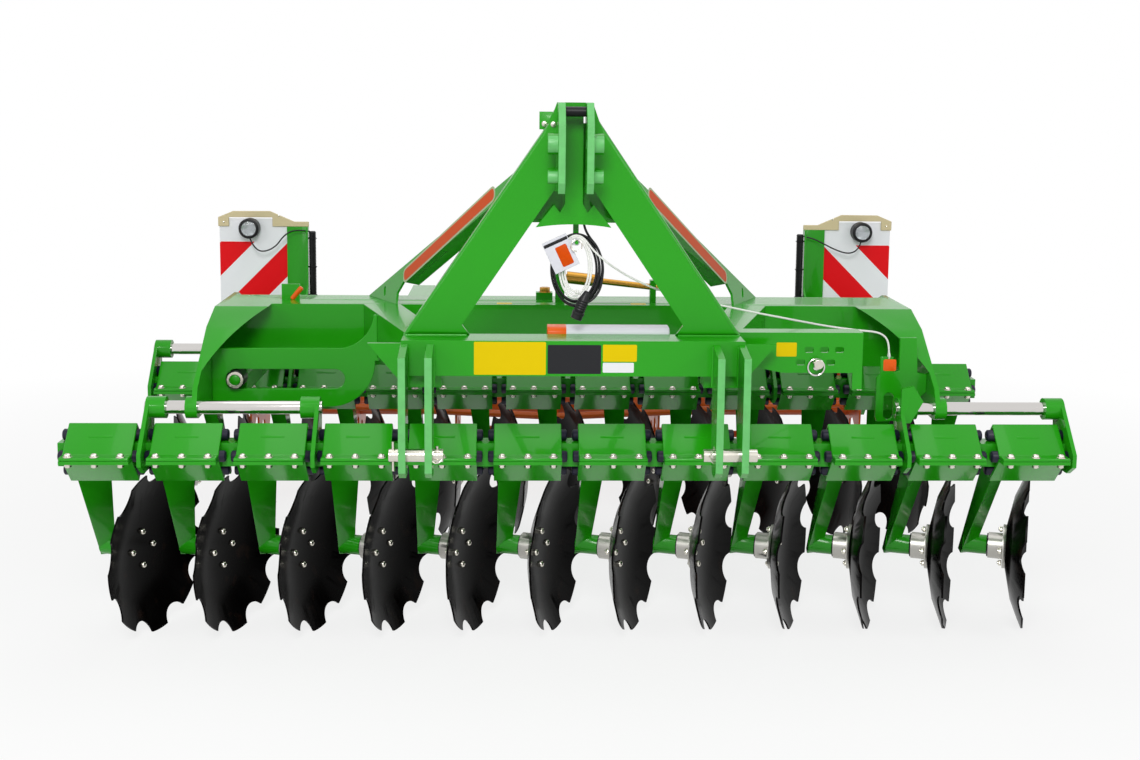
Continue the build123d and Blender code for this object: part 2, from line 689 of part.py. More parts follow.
# Top link plates with bosses on their outer sides
with BuildPart() as top_link_plates:
    for side in (-1, 1):
        inner_x = FRAME_X + side * TOP_GAP / 2
        hole_y = FRONT_Y + TOP_HOLE_OFFSET
        with BuildSketch(cross_section(inner_x, 0, 0)):
            with BuildLine():
                Polyline(
                    (MAST_Y, TOP_PLATE_BOTTOM),
                    (MAST_Y - TOP_PLATE_REACH + 20, TOP_PLATE_BOTTOM),
                    (MAST_Y - TOP_PLATE_REACH, TOP_PLATE_BOTTOM + 30),
                    (MAST_Y - TOP_PLATE_REACH, MAST_TOP - 60),
                    (MAST_Y - TOP_PLATE_REACH + 50, MAST_TOP),
                    (MAST_Y, MAST_TOP),
                    close=True,
                )
            make_face()
        extrude(amount=side * TOP_PLATE)
        for z, boss, hole in (
            (UPPER_HOLE_Z, UPPER_BOSS_RADIUS, UPPER_HOLE_RADIUS),
            (LOWER_HOLE_Z, LOWER_BOSS_RADIUS, LOWER_HOLE_RADIUS),
        ):
            with BuildSketch(cross_section(inner_x, hole_y, z)):
                Circle(boss)
            extrude(amount=side * (TOP_PLATE + BOSS_LENGTH))
            with BuildSketch(cross_section(inner_x, hole_y, z)):
                Circle(hole)
            extrude(amount=side * (TOP_PLATE + BOSS_LENGTH), mode=Mode.SUBTRACT)
save(top_link_plates, "top_link_plates")

# Black spacer sleeve between the top link plates
SLEEVE_Z = MAST_TOP - 25.0
with BuildPart() as sleeve:
    with BuildSketch(cross_section(FRAME_X - TOP_GAP / 2, FRONT_Y + MAST_FACE_OFFSET - 40, SLEEVE_Z)):
        Circle(14)
    extrude(amount=TOP_GAP)
save(sleeve, "spacer_sleeve")

# Lower link plates, in pairs
PIN_Y = FRONT_Y + LINK_PIN_OFFSET
with BuildPart() as link_plates:
    for side in (-1, 1):
        for near in (-1, 1):
            middle = FRAME_X + side * LINK_SPREAD / 2 + near * (LINK_GAP + LINK_PLATE) / 2
            with BuildSketch(cross_section(middle - LINK_PLATE / 2, 0, 0)):
                with BuildLine():
                    Polyline(
                        (CROSS_FRONT, MAIN_TOP - 10),
                        (HITCH_FRONT_Y, MAIN_TOP - 30),
                        (HITCH_FRONT_Y, LINK_PIN_Z - 40),
                        (HITCH_FRONT_Y + 30, LINK_PIN_Z - 60),
                        (HITCH_FRONT_Y + 75, LINK_PIN_Z - 60),
                        (HITCH_FRONT_Y + 100, LINK_PIN_Z - 20),
                        (CROSS_FRONT, MAIN_TOP - CROSS_HEIGHT),
                        close=True,
                    )
                make_face()
                with Locations((PIN_Y, LINK_PIN_Z)):
                    Circle(LINK_PIN_RADIUS + SEAT_FIT, mode=Mode.SUBTRACT)
            extrude(amount=LINK_PLATE)
save(link_plates, "lower_link_plates")

# Braces: folded channels from the mast's head to the main beam, made on the left and mirrored
BRACE_SHEET = 8.0
BRACE_LENGTH = 1060.0
BRACE_FOOT = (-657.0, MAIN_Y + MAIN_DEPTH / 2, MAIN_TOP)
BRACE_HEAD = (-155.0, FRONT_Y - 85.0, 1470.0)
BRACE_NORMAL = (-0.867, -0.438, 0.237)
BRACE_WEB = [(0, 0), (BRACE_LENGTH, 0), (BRACE_LENGTH, -42), (260, -55), (215, -75), (206, -113)]
brace_foot = Vector(BRACE_FOOT[0] + FRAME_X, BRACE_FOOT[1], BRACE_FOOT[2])
brace_run = Vector(BRACE_HEAD[0] + FRAME_X, BRACE_HEAD[1], BRACE_HEAD[2]) - brace_foot
brace_plane = Plane(origin=brace_foot, x_dir=brace_run, z_dir=BRACE_NORMAL)
with BuildPart() as braces:
    with BuildSketch(brace_plane):
        with BuildLine():
            Polyline(*BRACE_WEB, close=True)
        make_face()
        with Locations((123, -33)):
            SlotOverall(34, 14, rotation=90, mode=Mode.SUBTRACT)
    extrude(amount=-BRACE_SHEET)
    for inset, depth, low_edge in ((0, 30, False), (0, 58, True)):
        with BuildSketch(brace_plane):
            with BuildLine():
                if low_edge:
                    Polyline((260, -55), (BRACE_LENGTH, -42), (BRACE_LENGTH, -34), (260, -47), close=True)
                else:
                    Polyline((150, 0), (BRACE_LENGTH, 0), (BRACE_LENGTH, -8), (150, -8), close=True)
            make_face()
        extrude(amount=-depth)
    with BuildSketch(level(MAIN_TOP)):
        with Locations((0, MAIN_Y)):
            Rectangle(2000, 600)
    extrude(amount=-150, mode=Mode.SUBTRACT)
    with BuildSketch(face_on(HEAD_BACK)):
        with BuildLine():
            Polyline(*MAST_OUTLINE, close=True)
        make_face()
    extrude(amount=MAST_FLANGE + 100, mode=Mode.SUBTRACT)
    mirror(about=Plane(origin=(FRAME_X, 0, 0), z_dir=(1, 0, 0)))
save(braces, "braces")

# Bracket with the row of stop holes, right of the headstock
BRACKET_LEFT = MAST_FOOT_X + 0.3
BRACKET_RIGHT = 843.0
BRACKET_WALL = 10.0
BRACKET_DEPTH = 60.0
BRACKET_Y = CROSS_BACK + 20.0
BRACKET_TOP = MAIN_TOP + 5.0
BRACKET_BOTTOM = 887.0
RETURN_WIDTH = 28.0
RETURN_BOTTOM = 838.0
STOP_HOLE_WIDTH = 26.0
STOP_HOLE_HEIGHT = 17.0
STOP_X = 709.0
STOP_Z = 918.0
STOP_HOLES = [(686, 955), (731, 955), (775, 955), (662, STOP_Z), (STOP_X, STOP_Z), (750, STOP_Z)]
with BuildPart() as stop_bracket:
    with BuildSketch(face_on(BRACKET_Y)):
        with BuildLine():
            Polyline(
                (BRACKET_LEFT, BRACKET_TOP),
                (BRACKET_RIGHT, BRACKET_TOP),
                (BRACKET_RIGHT, RETURN_BOTTOM),
                (BRACKET_RIGHT - RETURN_WIDTH, RETURN_BOTTOM),
                (BRACKET_RIGHT - RETURN_WIDTH, BRACKET_BOTTOM),
                (611, BRACKET_BOTTOM),
                (508, 908),
                (BRACKET_LEFT, 908),
                close=True,
            )
        make_face()
        with Locations(*STOP_HOLES):
            RectangleRounded(STOP_HOLE_WIDTH, STOP_HOLE_HEIGHT, 6, mode=Mode.SUBTRACT)
    extrude(amount=BRACKET_WALL)
    with BuildSketch(level(BRACKET_TOP - BRACKET_WALL)):
        with Locations(((BRACKET_LEFT + BRACKET_RIGHT) / 2, BRACKET_Y + BRACKET_DEPTH / 2)):
            Rectangle(BRACKET_RIGHT - BRACKET_LEFT, BRACKET_DEPTH)
    extrude(amount=BRACKET_WALL)
    with BuildSketch(level(RETURN_BOTTOM)):
        with Locations((BRACKET_RIGHT - BRACKET_WALL / 2, BRACKET_Y + BRACKET_DEPTH / 2)):
            Rectangle(BRACKET_WALL, BRACKET_DEPTH)
    extrude(amount=BRACKET_TOP - RETURN_BOTTOM)
    with BuildSketch(level(ARM_BOTTOM)):
        with BuildLine():
            Polyline(*diagonal_outline(1), close=True)
        make_face()
    extrude(amount=MAIN_TOP - ARM_BOTTOM, mode=Mode.SUBTRACT)
save(stop_bracket, "stop_bracket")

# Steel pins: the two lower link pins and the stop pin in its bracket
with BuildPart() as steel_pins:
    for side in (-1, 1):
        pin_left = FRAME_X + side * LINK_SPREAD / 2 - LINK_PIN_LENGTH / 2
        with BuildSketch(cross_section(pin_left, PIN_Y, LINK_PIN_Z)):
            Circle(LINK_PIN_RADIUS)
        extrude(amount=LINK_PIN_LENGTH)
    with BuildSketch(face_on(BRACKET_Y + 15)):
        with Locations((STOP_X, STOP_Z)):
            Circle(STOP_HOLE_HEIGHT / 2 - SEAT_FIT)
    extrude(amount=60)
    with BuildSketch(face_on(BRACKET_Y - 30)):
        with Locations((STOP_X, STOP_Z)):
            Circle(14)
    extrude(amount=15)
save(steel_pins, "steel_pins")

# Latch plate inside the right side plate, with a lug that the pull rope is tied to
LATCH_FRONT = FRONT_Y + 125.0
LATCH_THICKNESS = 12.0
LUG_X = 980.0
LUG_TOP = 890.0
LUG_THICKNESS = 6.0
with BuildPart() as latch_plate:
    with BuildSketch(face_on(LATCH_FRONT + LATCH_THICKNESS)):
        with BuildLine():
            Polyline(
                (1019, 949),
                (1071, 949),
                (1076, 840),
                (MAIN_LENGTH / 2, 835),
                (MAIN_LENGTH / 2, 780),
                (1060, 740),
                (1024, 690),
                (955, 686),
                (950, 700),
                (950, 822),
                (958, 833),
                (1019, 846),
                close=True,
            )
        make_face()
        with Locations((989.5, 735)):
            SlotOverall(85, 31, rotation=90, mode=Mode.SUBTRACT)
    extrude(amount=LATCH_THICKNESS)
    with BuildSketch(face_on(LATCH_FRONT + LUG_THICKNESS)):
        with Locations((LUG_X, LUG_TOP - 31)):
            Rectangle(40, 62)
    extrude(amount=LUG_THICKNESS)
save(latch_plate, "latch_plate")

# Rear frame: cross tube over the roller, two arms to the main beam, two hangers
TUBE_Y = FRONT_Y + REAR_TUBE_OFFSET
TUBE_TOP = REAR_TUBE_Z + REAR_TUBE / 2
with BuildPart() as rear_frame:
    with BuildSketch(cross_section(-REAR_TUBE_LENGTH / 2, TUBE_Y, REAR_TUBE_Z)):
        Rectangle(REAR_TUBE, REAR_TUBE)
    extrude(amount=REAR_TUBE_LENGTH)
    for side in (-1, 1):
        with BuildSketch(cross_section(side * REAR_ARM_X - REAR_ARM_WIDTH / 2, 0, 0)):
            with BuildLine():
                Polyline(
                    (MAIN_Y + MAIN_DEPTH / 2, 935),
                    (MAIN_Y + MAIN_DEPTH / 2 + 300, 900),
                    (TUBE_Y - 60, 900),
                    (TUBE_Y, TUBE_TOP),
                    (TUBE_Y, REAR_TUBE_Z - 20),
                    (TUBE_Y - 120, 805),
                    (MAIN_Y + MAIN_DEPTH / 2, 805),
                    close=True,
                )
            make_face()
        extrude(amount=REAR_ARM_WIDTH)
        with BuildSketch(cross_section(side * HANGER_X, 0, 0)):
            with BuildLine():
                Polyline(
                    (TUBE_Y - 40, REAR_TUBE_Z + 30),
                    (TUBE_Y + 60, REAR_TUBE_Z + 30),
                    (ROLLER_Y + 45, ROLLER_Z),
                    (ROLLER_Y, ROLLER_Z - 45),
                    (ROLLER_Y - 45, ROLLER_Z),
                    close=True,
                )
            make_face()
            with Locations((ROLLER_Y, ROLLER_Z)):
                Circle(ROLLER_SHAFT_RADIUS + RUNNING_FIT, mode=Mode.SUBTRACT)
        extrude(amount=side * HANGER_THICKNESS)
save(rear_frame, "rear_frame")

# Cage roller: round bars on discs, bent to a shallow V
with BuildPart() as roller:
    with BuildSketch(cross_section(-ROLLER_LENGTH / 2, ROLLER_Y, ROLLER_Z)):
        Circle(ROLLER_TUBE_RADIUS)
    extrude(amount=ROLLER_LENGTH)
    with BuildSketch(cross_section(-HANGER_X - HANGER_THICKNESS, ROLLER_Y, ROLLER_Z)):
        Circle(ROLLER_SHAFT_RADIUS)
    extrude(amount=2 * (HANGER_X + HANGER_THICKNESS))
    for i in range(ROLLER_DISCS):
        x = (i - (ROLLER_DISCS - 1) / 2) * ROLLER_DISC_PITCH
        with BuildSketch(cross_section(x - ROLLER_DISC_THICKNESS / 2, ROLLER_Y, ROLLER_Z)):
            Circle(ROLLER_RIM_RADIUS)
            with PolarLocations(ROLLER_WINDOW_CIRCLE, ROLLER_WINDOWS):
                RegularPolygon(ROLLER_WINDOW_RADIUS, 6, mode=Mode.SUBTRACT)
        extrude(amount=ROLLER_DISC_THICKNESS)
    bar_circle = ROLLER_RADIUS - ROLLER_BAR_RADIUS
    for i in range(ROLLER_BARS):
        turn = radians(360 / ROLLER_BARS * i)
        end_turn = turn - radians(ROLLER_TWIST)
        end_y = ROLLER_Y + bar_circle * cos(end_turn)
        end_z = ROLLER_Z + bar_circle * sin(end_turn)
        middle = (0, ROLLER_Y + bar_circle * cos(turn), ROLLER_Z + bar_circle * sin(turn))
        ends = [(-ROLLER_LENGTH / 2, end_y, end_z), (ROLLER_LENGTH / 2, end_y, end_z)]
        with BuildLine():
            Polyline(ends[0], middle, ends[1])
        with BuildSketch(Plane(origin=ends[0], z_dir=Vector(*middle) - Vector(*ends[0]))):
            Circle(ROLLER_BAR_RADIUS)
        sweep(transition=Transition.RIGHT)
save(roller, "cage_roller")

# Posts for the boards, on the back of the rear cross tube
TUBE_BACK = TUBE_Y + REAR_TUBE / 2
POST_INNER_X = BOARD_OUTER_X - BOARD_WIDTH - POST_WIDTH
with BuildPart() as posts:
    for side in (-1, 1):
        with BuildSketch(cross_section(side * POST_INNER_X, 0, 0)):
            with BuildLine():
                Polyline(
                    (TUBE_BACK, REAR_TUBE_Z - 35),
                    (TUBE_BACK, REAR_TUBE_Z + 35),
                    (POST_BACK - 40, REAR_TUBE_Z + 110),
                    (POST_BACK - 40, POST_TOP),
                    (POST_BACK, POST_TOP),
                    (POST_BACK, REAR_TUBE_Z - 35),
                    close=True,
                )
            make_face()
        extrude(amount=side * POST_THICKNESS)
        with BuildSketch(face_on(POST_BACK, middle=0)):
            with Locations((side * (POST_INNER_X + POST_WIDTH / 2), (POST_TOP + REAR_TUBE_Z - 35) / 2)):
                Rectangle(POST_WIDTH, POST_TOP - REAR_TUBE_Z + 35)
        extrude(amount=POST_THICKNESS)
save(posts, "board_posts")

# Cap over each board and its post, arched over the lamp
with BuildPart() as caps:
    for side in (-1, 1):
        with BuildSketch(face_on(POST_BACK, middle=0)):
            with BuildLine():
                Polyline(
                    *[(side * x, z) for x, z in [
                        (POST_INNER_X, POST_TOP),
                        (POST_INNER_X, POST_TOP + 21),
                        (POST_INNER_X + 61, POST_TOP + 21),
                        (POST_INNER_X + 162, POST_TOP + 65),
                        (BOARD_OUTER_X - 58, POST_TOP + 64),
                        (BOARD_OUTER_X + 4, POST_TOP + 38),
                        (BOARD_OUTER_X + 4, POST_TOP),
                        (BOARD_OUTER_X - 41, POST_TOP),
                        (BOARD_OUTER_X - 41, POST_TOP + 38),
                        (BOARD_OUTER_X - 222, POST_TOP + 38),
                        (BOARD_OUTER_X - 222, POST_TOP),
                    ]],
                    close=True,
                )
            make_face()
        extrude(amount=POST_THICKNESS)
save(caps, "board_caps")

with BuildPart() as boards:
    for side in (-1, 1):
        with BuildSketch(face_on(POST_BACK + BOARD_THICKNESS, middle=0)):
            with Locations((side * (BOARD_OUTER_X - BOARD_WIDTH / 2), BOARD_TOP - BOARD_HEIGHT / 2)):
                Rectangle(BOARD_WIDTH, BOARD_HEIGHT)
        extrude(amount=BOARD_THICKNESS)
save(boards, "warning_boards")

with BuildPart() as lamps:
    for side in (-1, 1):
        with BuildSketch(face_on(POST_BACK, middle=0)):
            with Locations((side * LAMP_X, LAMP_Z)):
                Circle(LAMP_RADIUS)
        extrude(amount=LAMP_DEPTH)
save(lamps, "round_lamps")

# Long narrow case behind the headstock's cross-member
with BuildPart() as case:
    with BuildSketch(level(950)):
        with Locations((105, CROSS_BACK + 40)):
            Rectangle(350, 80)
    extrude(amount=68)
    fillet(case.edges().filter_by(Axis.X), 18)
save(case, "document_case")

# Coiled cable that hangs on the peg, with its short end up into the mast's head
COIL_CENTRE = (PEG_X, PEG_Z + PEG_RADIUS + 0.3 - 86)
CABLE_RADIUS = 3.5
CABLE_X = 30.0
COIL_FRONT = FRONT_Y - 132.0
COIL_DEPTH = 20.0
with BuildPart() as coil:
    with BuildSketch(face_on(COIL_FRONT + COIL_DEPTH)):
        with Locations(COIL_CENTRE):
            Ellipse(78, 108)
            Ellipse(56, 86, mode=Mode.SUBTRACT)
    extrude(amount=COIL_DEPTH)
    with BuildSketch(level(HEAD_FLOOR)):
        with Locations((CABLE_X, COIL_FRONT + COIL_DEPTH / 2)):
            Circle(CABLE_RADIUS)
    extrude(amount=-50)
save(coil, "cable_coil")

# Plug on the coil's lower end
PLUG_Y = FRONT_Y - 165.0
with BuildPart() as plug:
    with BuildSketch(Plane(origin=(FRAME_X + 8, PLUG_Y, 1048), z_dir=(32, 0, 80))):
        Circle(18)
    extrude(amount=86)
    with BuildSketch(face_on(COIL_FRONT)):
        with Locations((25, 1090)):
            Circle(5)
    extrude(amount=COIL_FRONT - PLUG_Y)
save(plug, "cable_plug")

# Hank of the pull rope on the same peg
HANK_FRONT = FRONT_Y - 144.0
HANK_DEPTH = 10.0
with BuildPart() as hank:
    with BuildSketch(face_on(HANK_FRONT + HANK_DEPTH)):
        with Locations((PEG_X, PEG_Z + PEG_RADIUS + 0.3 - 80)):
            Ellipse(50, 92)
            Ellipse(40, 80, mode=Mode.SUBTRACT)
    extrude(amount=HANK_DEPTH)
save(hank, "rope_hank")

# Flat pouch that hangs askew by its strap from the peg
POUCH_BACK = FRONT_Y - 150.0
with BuildPart() as pouch:
    with BuildSketch(face_on(POUCH_BACK)):
        with Locations((-36, 1233)):
            Rectangle(75, 95, rotation=25)
        with Locations(((PEG_X - 20) / 2, PEG_Z - 2)):
            Rectangle(PEG_X + 20, 14)
        with Locations((PEG_X, PEG_Z)):
            Circle(10)
            Circle(PEG_RADIUS + SEAT_FIT, mode=Mode.SUBTRACT)
    extrude(amount=8)
save(pouch, "document_pouch")

# Pull rope from its hank to the latch plate's lug: X, distance behind the front beam, Z
ROPE_RADIUS = 3.0
ROPE_POINTS = [
    (30, -139, 1266),
    (56, -141, 1242),
    (88, -141, 1214),
    (122, -115, 1187),
    (172, -95, 1156),
    (236, -87, 1127),
    (308, -80, 1104),
    (388, -72, 1085),
    (465, -59, 1068),
    (540, -40, 1050),
    (612, -15, 1034),
    (685, 12, 1017),
    (758, 43, 1000),
    (828, 74, 986),
    (893, 101, 975),
    (945, 120, 968),
    (975, 127, 952),
    (986, 128, 922),
    (986, 128, 890),
]
rope_points = [Vector(FRAME_X + x, FRONT_Y + back, z) for x, back, z in ROPE_POINTS]
rope_radii = []
for before, here, after in zip(rope_points, rope_points[1:], rope_points[2:]):
    half_turn = radians((here - before).get_angle(after - here)) / 2
    shorter = min((here - before).length, (after - here).length)
    rope_radii.append(0.45 * shorter / tan(half_turn))
print("rope's bend radii:", [round(radius) for radius in rope_radii])
with BuildPart() as rope:
    with BuildLine():
        FilletPolyline(*rope_points, radius=rope_radii)
    with BuildSketch(Plane(origin=rope_points[0], z_dir=rope_points[1] - rope_points[0])):
        Circle(ROPE_RADIUS)
    sweep()
print("rope's length:", round(rope.part.volume / (pi * ROPE_RADIUS ** 2)))
save(rope, "pull_rope")
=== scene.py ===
"""Looks of the mounted disc harrow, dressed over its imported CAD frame.

Metres, in the row frame: +X to the right, +Y to the roller, +Z up, discs' rims on z = 0. Sizes of small
parts are in mm, and MM turns them into metres.
"""

from __future__ import annotations

import json
import logging
import math
from dataclasses import dataclass, field
from enum import Enum

import bmesh
import bpy
from mathutils import Matrix, Vector
from mathutils.bvhtree import BVHTree

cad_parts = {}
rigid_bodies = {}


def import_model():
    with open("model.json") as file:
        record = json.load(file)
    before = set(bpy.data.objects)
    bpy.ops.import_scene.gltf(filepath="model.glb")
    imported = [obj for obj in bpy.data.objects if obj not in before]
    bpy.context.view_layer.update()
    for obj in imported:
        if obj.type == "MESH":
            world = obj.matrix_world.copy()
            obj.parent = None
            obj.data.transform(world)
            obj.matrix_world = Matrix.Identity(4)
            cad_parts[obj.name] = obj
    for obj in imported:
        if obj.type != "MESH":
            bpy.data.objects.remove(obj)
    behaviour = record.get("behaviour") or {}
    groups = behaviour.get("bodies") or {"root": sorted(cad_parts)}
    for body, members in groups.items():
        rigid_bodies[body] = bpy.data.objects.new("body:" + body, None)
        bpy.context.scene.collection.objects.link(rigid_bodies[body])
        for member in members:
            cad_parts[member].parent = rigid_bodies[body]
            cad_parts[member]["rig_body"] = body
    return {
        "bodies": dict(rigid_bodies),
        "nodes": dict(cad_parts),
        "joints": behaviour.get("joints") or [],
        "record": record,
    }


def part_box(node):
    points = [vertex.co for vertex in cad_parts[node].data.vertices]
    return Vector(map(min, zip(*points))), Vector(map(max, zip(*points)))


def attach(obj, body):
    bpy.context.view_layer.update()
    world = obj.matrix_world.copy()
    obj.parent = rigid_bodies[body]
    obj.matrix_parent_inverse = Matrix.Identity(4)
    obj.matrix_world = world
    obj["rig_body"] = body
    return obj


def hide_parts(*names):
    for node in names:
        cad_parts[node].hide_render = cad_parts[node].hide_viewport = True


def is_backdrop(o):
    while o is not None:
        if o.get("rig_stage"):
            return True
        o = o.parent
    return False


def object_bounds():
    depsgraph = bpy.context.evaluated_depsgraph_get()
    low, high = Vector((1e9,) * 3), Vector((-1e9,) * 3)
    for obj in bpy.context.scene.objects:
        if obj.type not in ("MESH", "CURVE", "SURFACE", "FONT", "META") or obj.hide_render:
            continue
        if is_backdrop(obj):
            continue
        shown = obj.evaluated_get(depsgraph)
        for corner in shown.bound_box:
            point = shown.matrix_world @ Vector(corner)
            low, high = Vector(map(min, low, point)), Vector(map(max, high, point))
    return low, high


log = logging.getLogger("disc_harrow")
MM = 0.001
WHITE = (1.0, 1.0, 1.0, 1.0)
# How far the peg's tip on the mast is ahead of the front beam's middle
PEG_TIP_AHEAD = 176.0
ROD_STEPS = 20
RING_STEPS = 28
WIRE_SIDES = 8
# A face with a normal beyond this in Y looks ahead; a skin's finish for such faces paints a highlight on
# them
LOOKS_AHEAD = -0.6
FLAT_DEGREES = 0.6
BEVEL_DEGREES = 40.0
# Where the lines that look for a surface start: ahead of the machine, or above its main beam
AHEAD_OF_ALL = -700.0
ABOVE_BEAM = 1300.0
Mesh = bmesh.types.BMesh
Pair = tuple[float, float]
Outline = list[Pair]
Spot = tuple[float, float, float]


class Row(Enum):
    """The two rows of discs, each by the word that starts the names of its nodes."""

    FRONT = "front"
    REAR = "rear"


class Facing(Enum):
    """The main directions of the row frame."""

    REARWARD = (0.0, 1.0, 0.0)
    FORWARD = (0.0, -1.0, 0.0)
    UPWARD = (0.0, 0.0, 1.0)
    DOWNWARD = (0.0, 0.0, -1.0)

    @property
    def vector(self) -> Vector:
        """The direction as a vector."""
        return Vector(self.value)


def srgb(code: str) -> tuple[float, float, float, float]:
    """Turn an sRGB hex value into a linear colour.

    Args:
        code: Six hex digits.

    Returns:
        Linear red, green, blue and an alpha of 1.
    """
    parts = [int(code[i : i + 2], 16) / 255 for i in (0, 2, 4)]
    linear = [p / 12.92 if p <= 0.04045 else ((p + 0.055) / 1.055) ** 2.4 for p in parts]
    return (linear[0], linear[1], linear[2], 1.0)


class Shader:
    """The node tree of a material or a world, filled from empty."""

    def __init__(self, owner: bpy.types.Material | bpy.types.World) -> None:
        """Start with an empty tree."""
        owner.use_nodes = True
        self.owner = owner
        self.tree = owner.node_tree
        self.tree.nodes.clear()

    def add(self, kind: str, **inputs: object) -> bpy.types.Node:
        """Add a node.

        Args:
            kind: The node's type, without its ShaderNode prefix.
            **inputs: Settings of the node, and values or output sockets for its inputs.

        Returns:
            The new node.
        """
        node = self.tree.nodes.new("ShaderNode" + kind)
        for key, value in inputs.items():
            if hasattr(node, key) and not isinstance(value, bpy.types.NodeSocket):
                setattr(node, key, value)
                continue
            socket = node.inputs[int(key[1:])] if key[0] == "_" else node.inputs[key.replace("_", " ")]
            if isinstance(value, bpy.types.NodeSocket):
                self.tree.links.new(value, socket)
            else:
                socket.default_value = value
        return node

    def calc(self, operation: str, first: object, second: object = 0.0) -> bpy.types.NodeSocket:
        """The result of a sum on one or two values."""
        return self.add("Math", operation=operation, _0=first, _1=second).outputs[0]

    def blend(self, share: object, first: object, second: object) -> bpy.types.NodeSocket:
        """A colour that goes from the first to the second as the share goes from 0 to 1."""
        return self.add("Mix", data_type="RGBA", _0=share, _6=first, _7=second).outputs[2]

    def rays(self, *kinds: str) -> bpy.types.NodeSocket:
        """Tell some kinds of rays from the rest.

        Args:
            *kinds: The kinds, as the light path's outputs name them.

        Returns:
            1 for a ray of one of these kinds, or else 0.
        """
        path = self.add("LightPath")
        total = path.outputs["Is %s Ray" % kinds[0]]
        for kind in kinds[1:]:
            other = path.outputs["Is %s Ray" % kind]
            total = self.add("Math", operation="ADD", use_clamp=True, _0=total, _1=other).outputs[0]
        return total

    def surface(self, **inputs: object) -> bpy.types.Material:
        """End a material's tree in a principled surface.

        Args:
            **inputs: Values or output sockets for the surface's inputs.

        Returns:
            The finished material.
        """
        principled = self.add("BsdfPrincipled", **inputs)
        self.add("OutputMaterial", Surface=principled.outputs["BSDF"])
        return self.owner


@dataclass(frozen=True)
class Finish:
    """A material that is made on first use and shared after that."""

    name: str

    def build(self) -> bpy.types.Material:
        """The finished material."""
        made = bpy.data.materials.get(self.name)
        return made or self.filled(Shader(bpy.data.materials.new(self.name)))

    def filled(self, shader: Shader) -> bpy.types.Material:
        """Fill the tree of the new material, as each kind of finish does in its own way."""
        raise NotImplementedError


@dataclass(frozen=True)
class Coating(Finish):
    """A finish on metal, plastic or rubber: slow colour drift, surface grain, worn or dusty spots on most
    finishes, and spots of painted warm reflection on the discs.
    """

    colour: str
    roughness: float
    metallic: float = 0.0
    coat: float = 0.0
    coat_roughness: float = 0.06
    specular: float = 0.5
    drift: float = 0.06
    drift_mm: float = 180.0
    grain_mm: float = 4.0
    grain_depth_mm: float = 0.02
    roughness_drift: float = 0.06
    stain_and_reflection: str = ""
    stain_and_reflection_mm: float = 40.0
    stain_and_reflection_from: float = 0.6
    stain_and_reflection_to: float = 0.74
    stretch: Spot = (1.0, 1.0, 1.0)

    def filled(self, shader: Shader) -> bpy.types.Material:
        """Fill the tree.

        Args:
            shader: The empty tree.

        Returns:
            The finished material.
        """
        place = shader.add("TexCoord").outputs["Object"]
        slow = shader.add("TexNoise", Vector=place, Scale=1000 / self.drift_mm, Detail=3.0).outputs["Fac"]
        grain = shader.add("VectorMath", operation="MULTIPLY", _0=place, _1=self.stretch)
        fine = shader.add("TexNoise", Vector=grain.outputs[0], Scale=1000 / self.grain_mm, Detail=2.0)
        base = srgb(self.colour)[:3]
        dark = tuple(part * (1 - self.drift) for part in base) + (1.0,)
        light = tuple(part * (1 + self.drift) for part in base) + (1.0,)
        tint = shader.blend(slow, dark, light)
        # Spots of a second colour: wear or dust, and on the discs a painted warm reflection
        if self.stain_and_reflection:
            spots = shader.add("TexNoise", Vector=place, Scale=1000 / self.stain_and_reflection_mm, Detail=5.0)
            mask = shader.add(
                "MapRange", Value=spots.outputs["Fac"], From_Min=self.stain_and_reflection_from, From_Max=self.stain_and_reflection_to
            )
            tint = shader.blend(mask.outputs["Result"], tint, srgb(self.stain_and_reflection))
        gloss = shader.add(
            "MapRange",
            Value=slow,
            To_Min=max(0.02, self.roughness - self.roughness_drift),
            To_Max=min(1.0, self.roughness + self.roughness_drift),
        )
        depth = self.grain_depth_mm * MM
        bump = shader.add("Bump", Height=fine.outputs["Fac"], Distance=depth, Strength=1.0)
        return shader.surface(
            Base_Color=tint,
            Roughness=gloss.outputs["Result"],
            Metallic=self.metallic,
            Normal=bump.outputs["Normal"],
            Coat_Weight=self.coat,
            Coat_Roughness=self.coat_roughness,
            Specular_IOR_Level=self.specular,
        )


@dataclass(frozen=True)
class StripedSheet(Finish):
    """Retroreflective board sheet: red and white diagonals, each as wide as half the board.

    The real one is a film of glass beads under a clear layer, so it is bright, slightly
    pebbled and glossy at a low angle. The stripes are mirrored about X = 0, under a plain
    white field. Lengths in metres, except for the beads.
    """

    name: str = "reflective_board_sheet"
    red: str = "EE0614"
    white: str = "F6F7FC"
    period: float = 0.282
    phase: float = 2.467
    stripes_top: float = 1.052
    bead_mm: float = 3.0

    def filled(self, shader: Shader) -> bpy.types.Material:
        """Fill the tree.

        Args:
            shader: The empty tree.

        Returns:
            The finished material.
        """
        place = shader.add("TexCoord").outputs["Object"]
        parts = shader.add("SeparateXYZ", Vector=place)
        slant = shader.calc("ADD", parts.outputs["Z"], shader.calc("ABSOLUTE", parts.outputs["X"]))
        wrapped = shader.calc("FLOORED_MODULO", shader.calc("SUBTRACT", self.phase, slant), self.period)
        band = shader.calc("LESS_THAN", wrapped, self.period / 2)
        below = shader.calc("LESS_THAN", parts.outputs["Z"], self.stripes_top)
        tint = shader.blend(shader.calc("MULTIPLY", band, below), srgb(self.white), srgb(self.red))
        beads = shader.add("TexVoronoi", Vector=place, Scale=1000 / self.bead_mm)
        bump = shader.add("Bump", Height=beads.outputs["Distance"], Distance=0.00005, Strength=0.6)
        return shader.surface(
            Base_Color=tint, Roughness=0.35, Normal=bump.outputs["Normal"], Specular_IOR_Level=0.2
        )


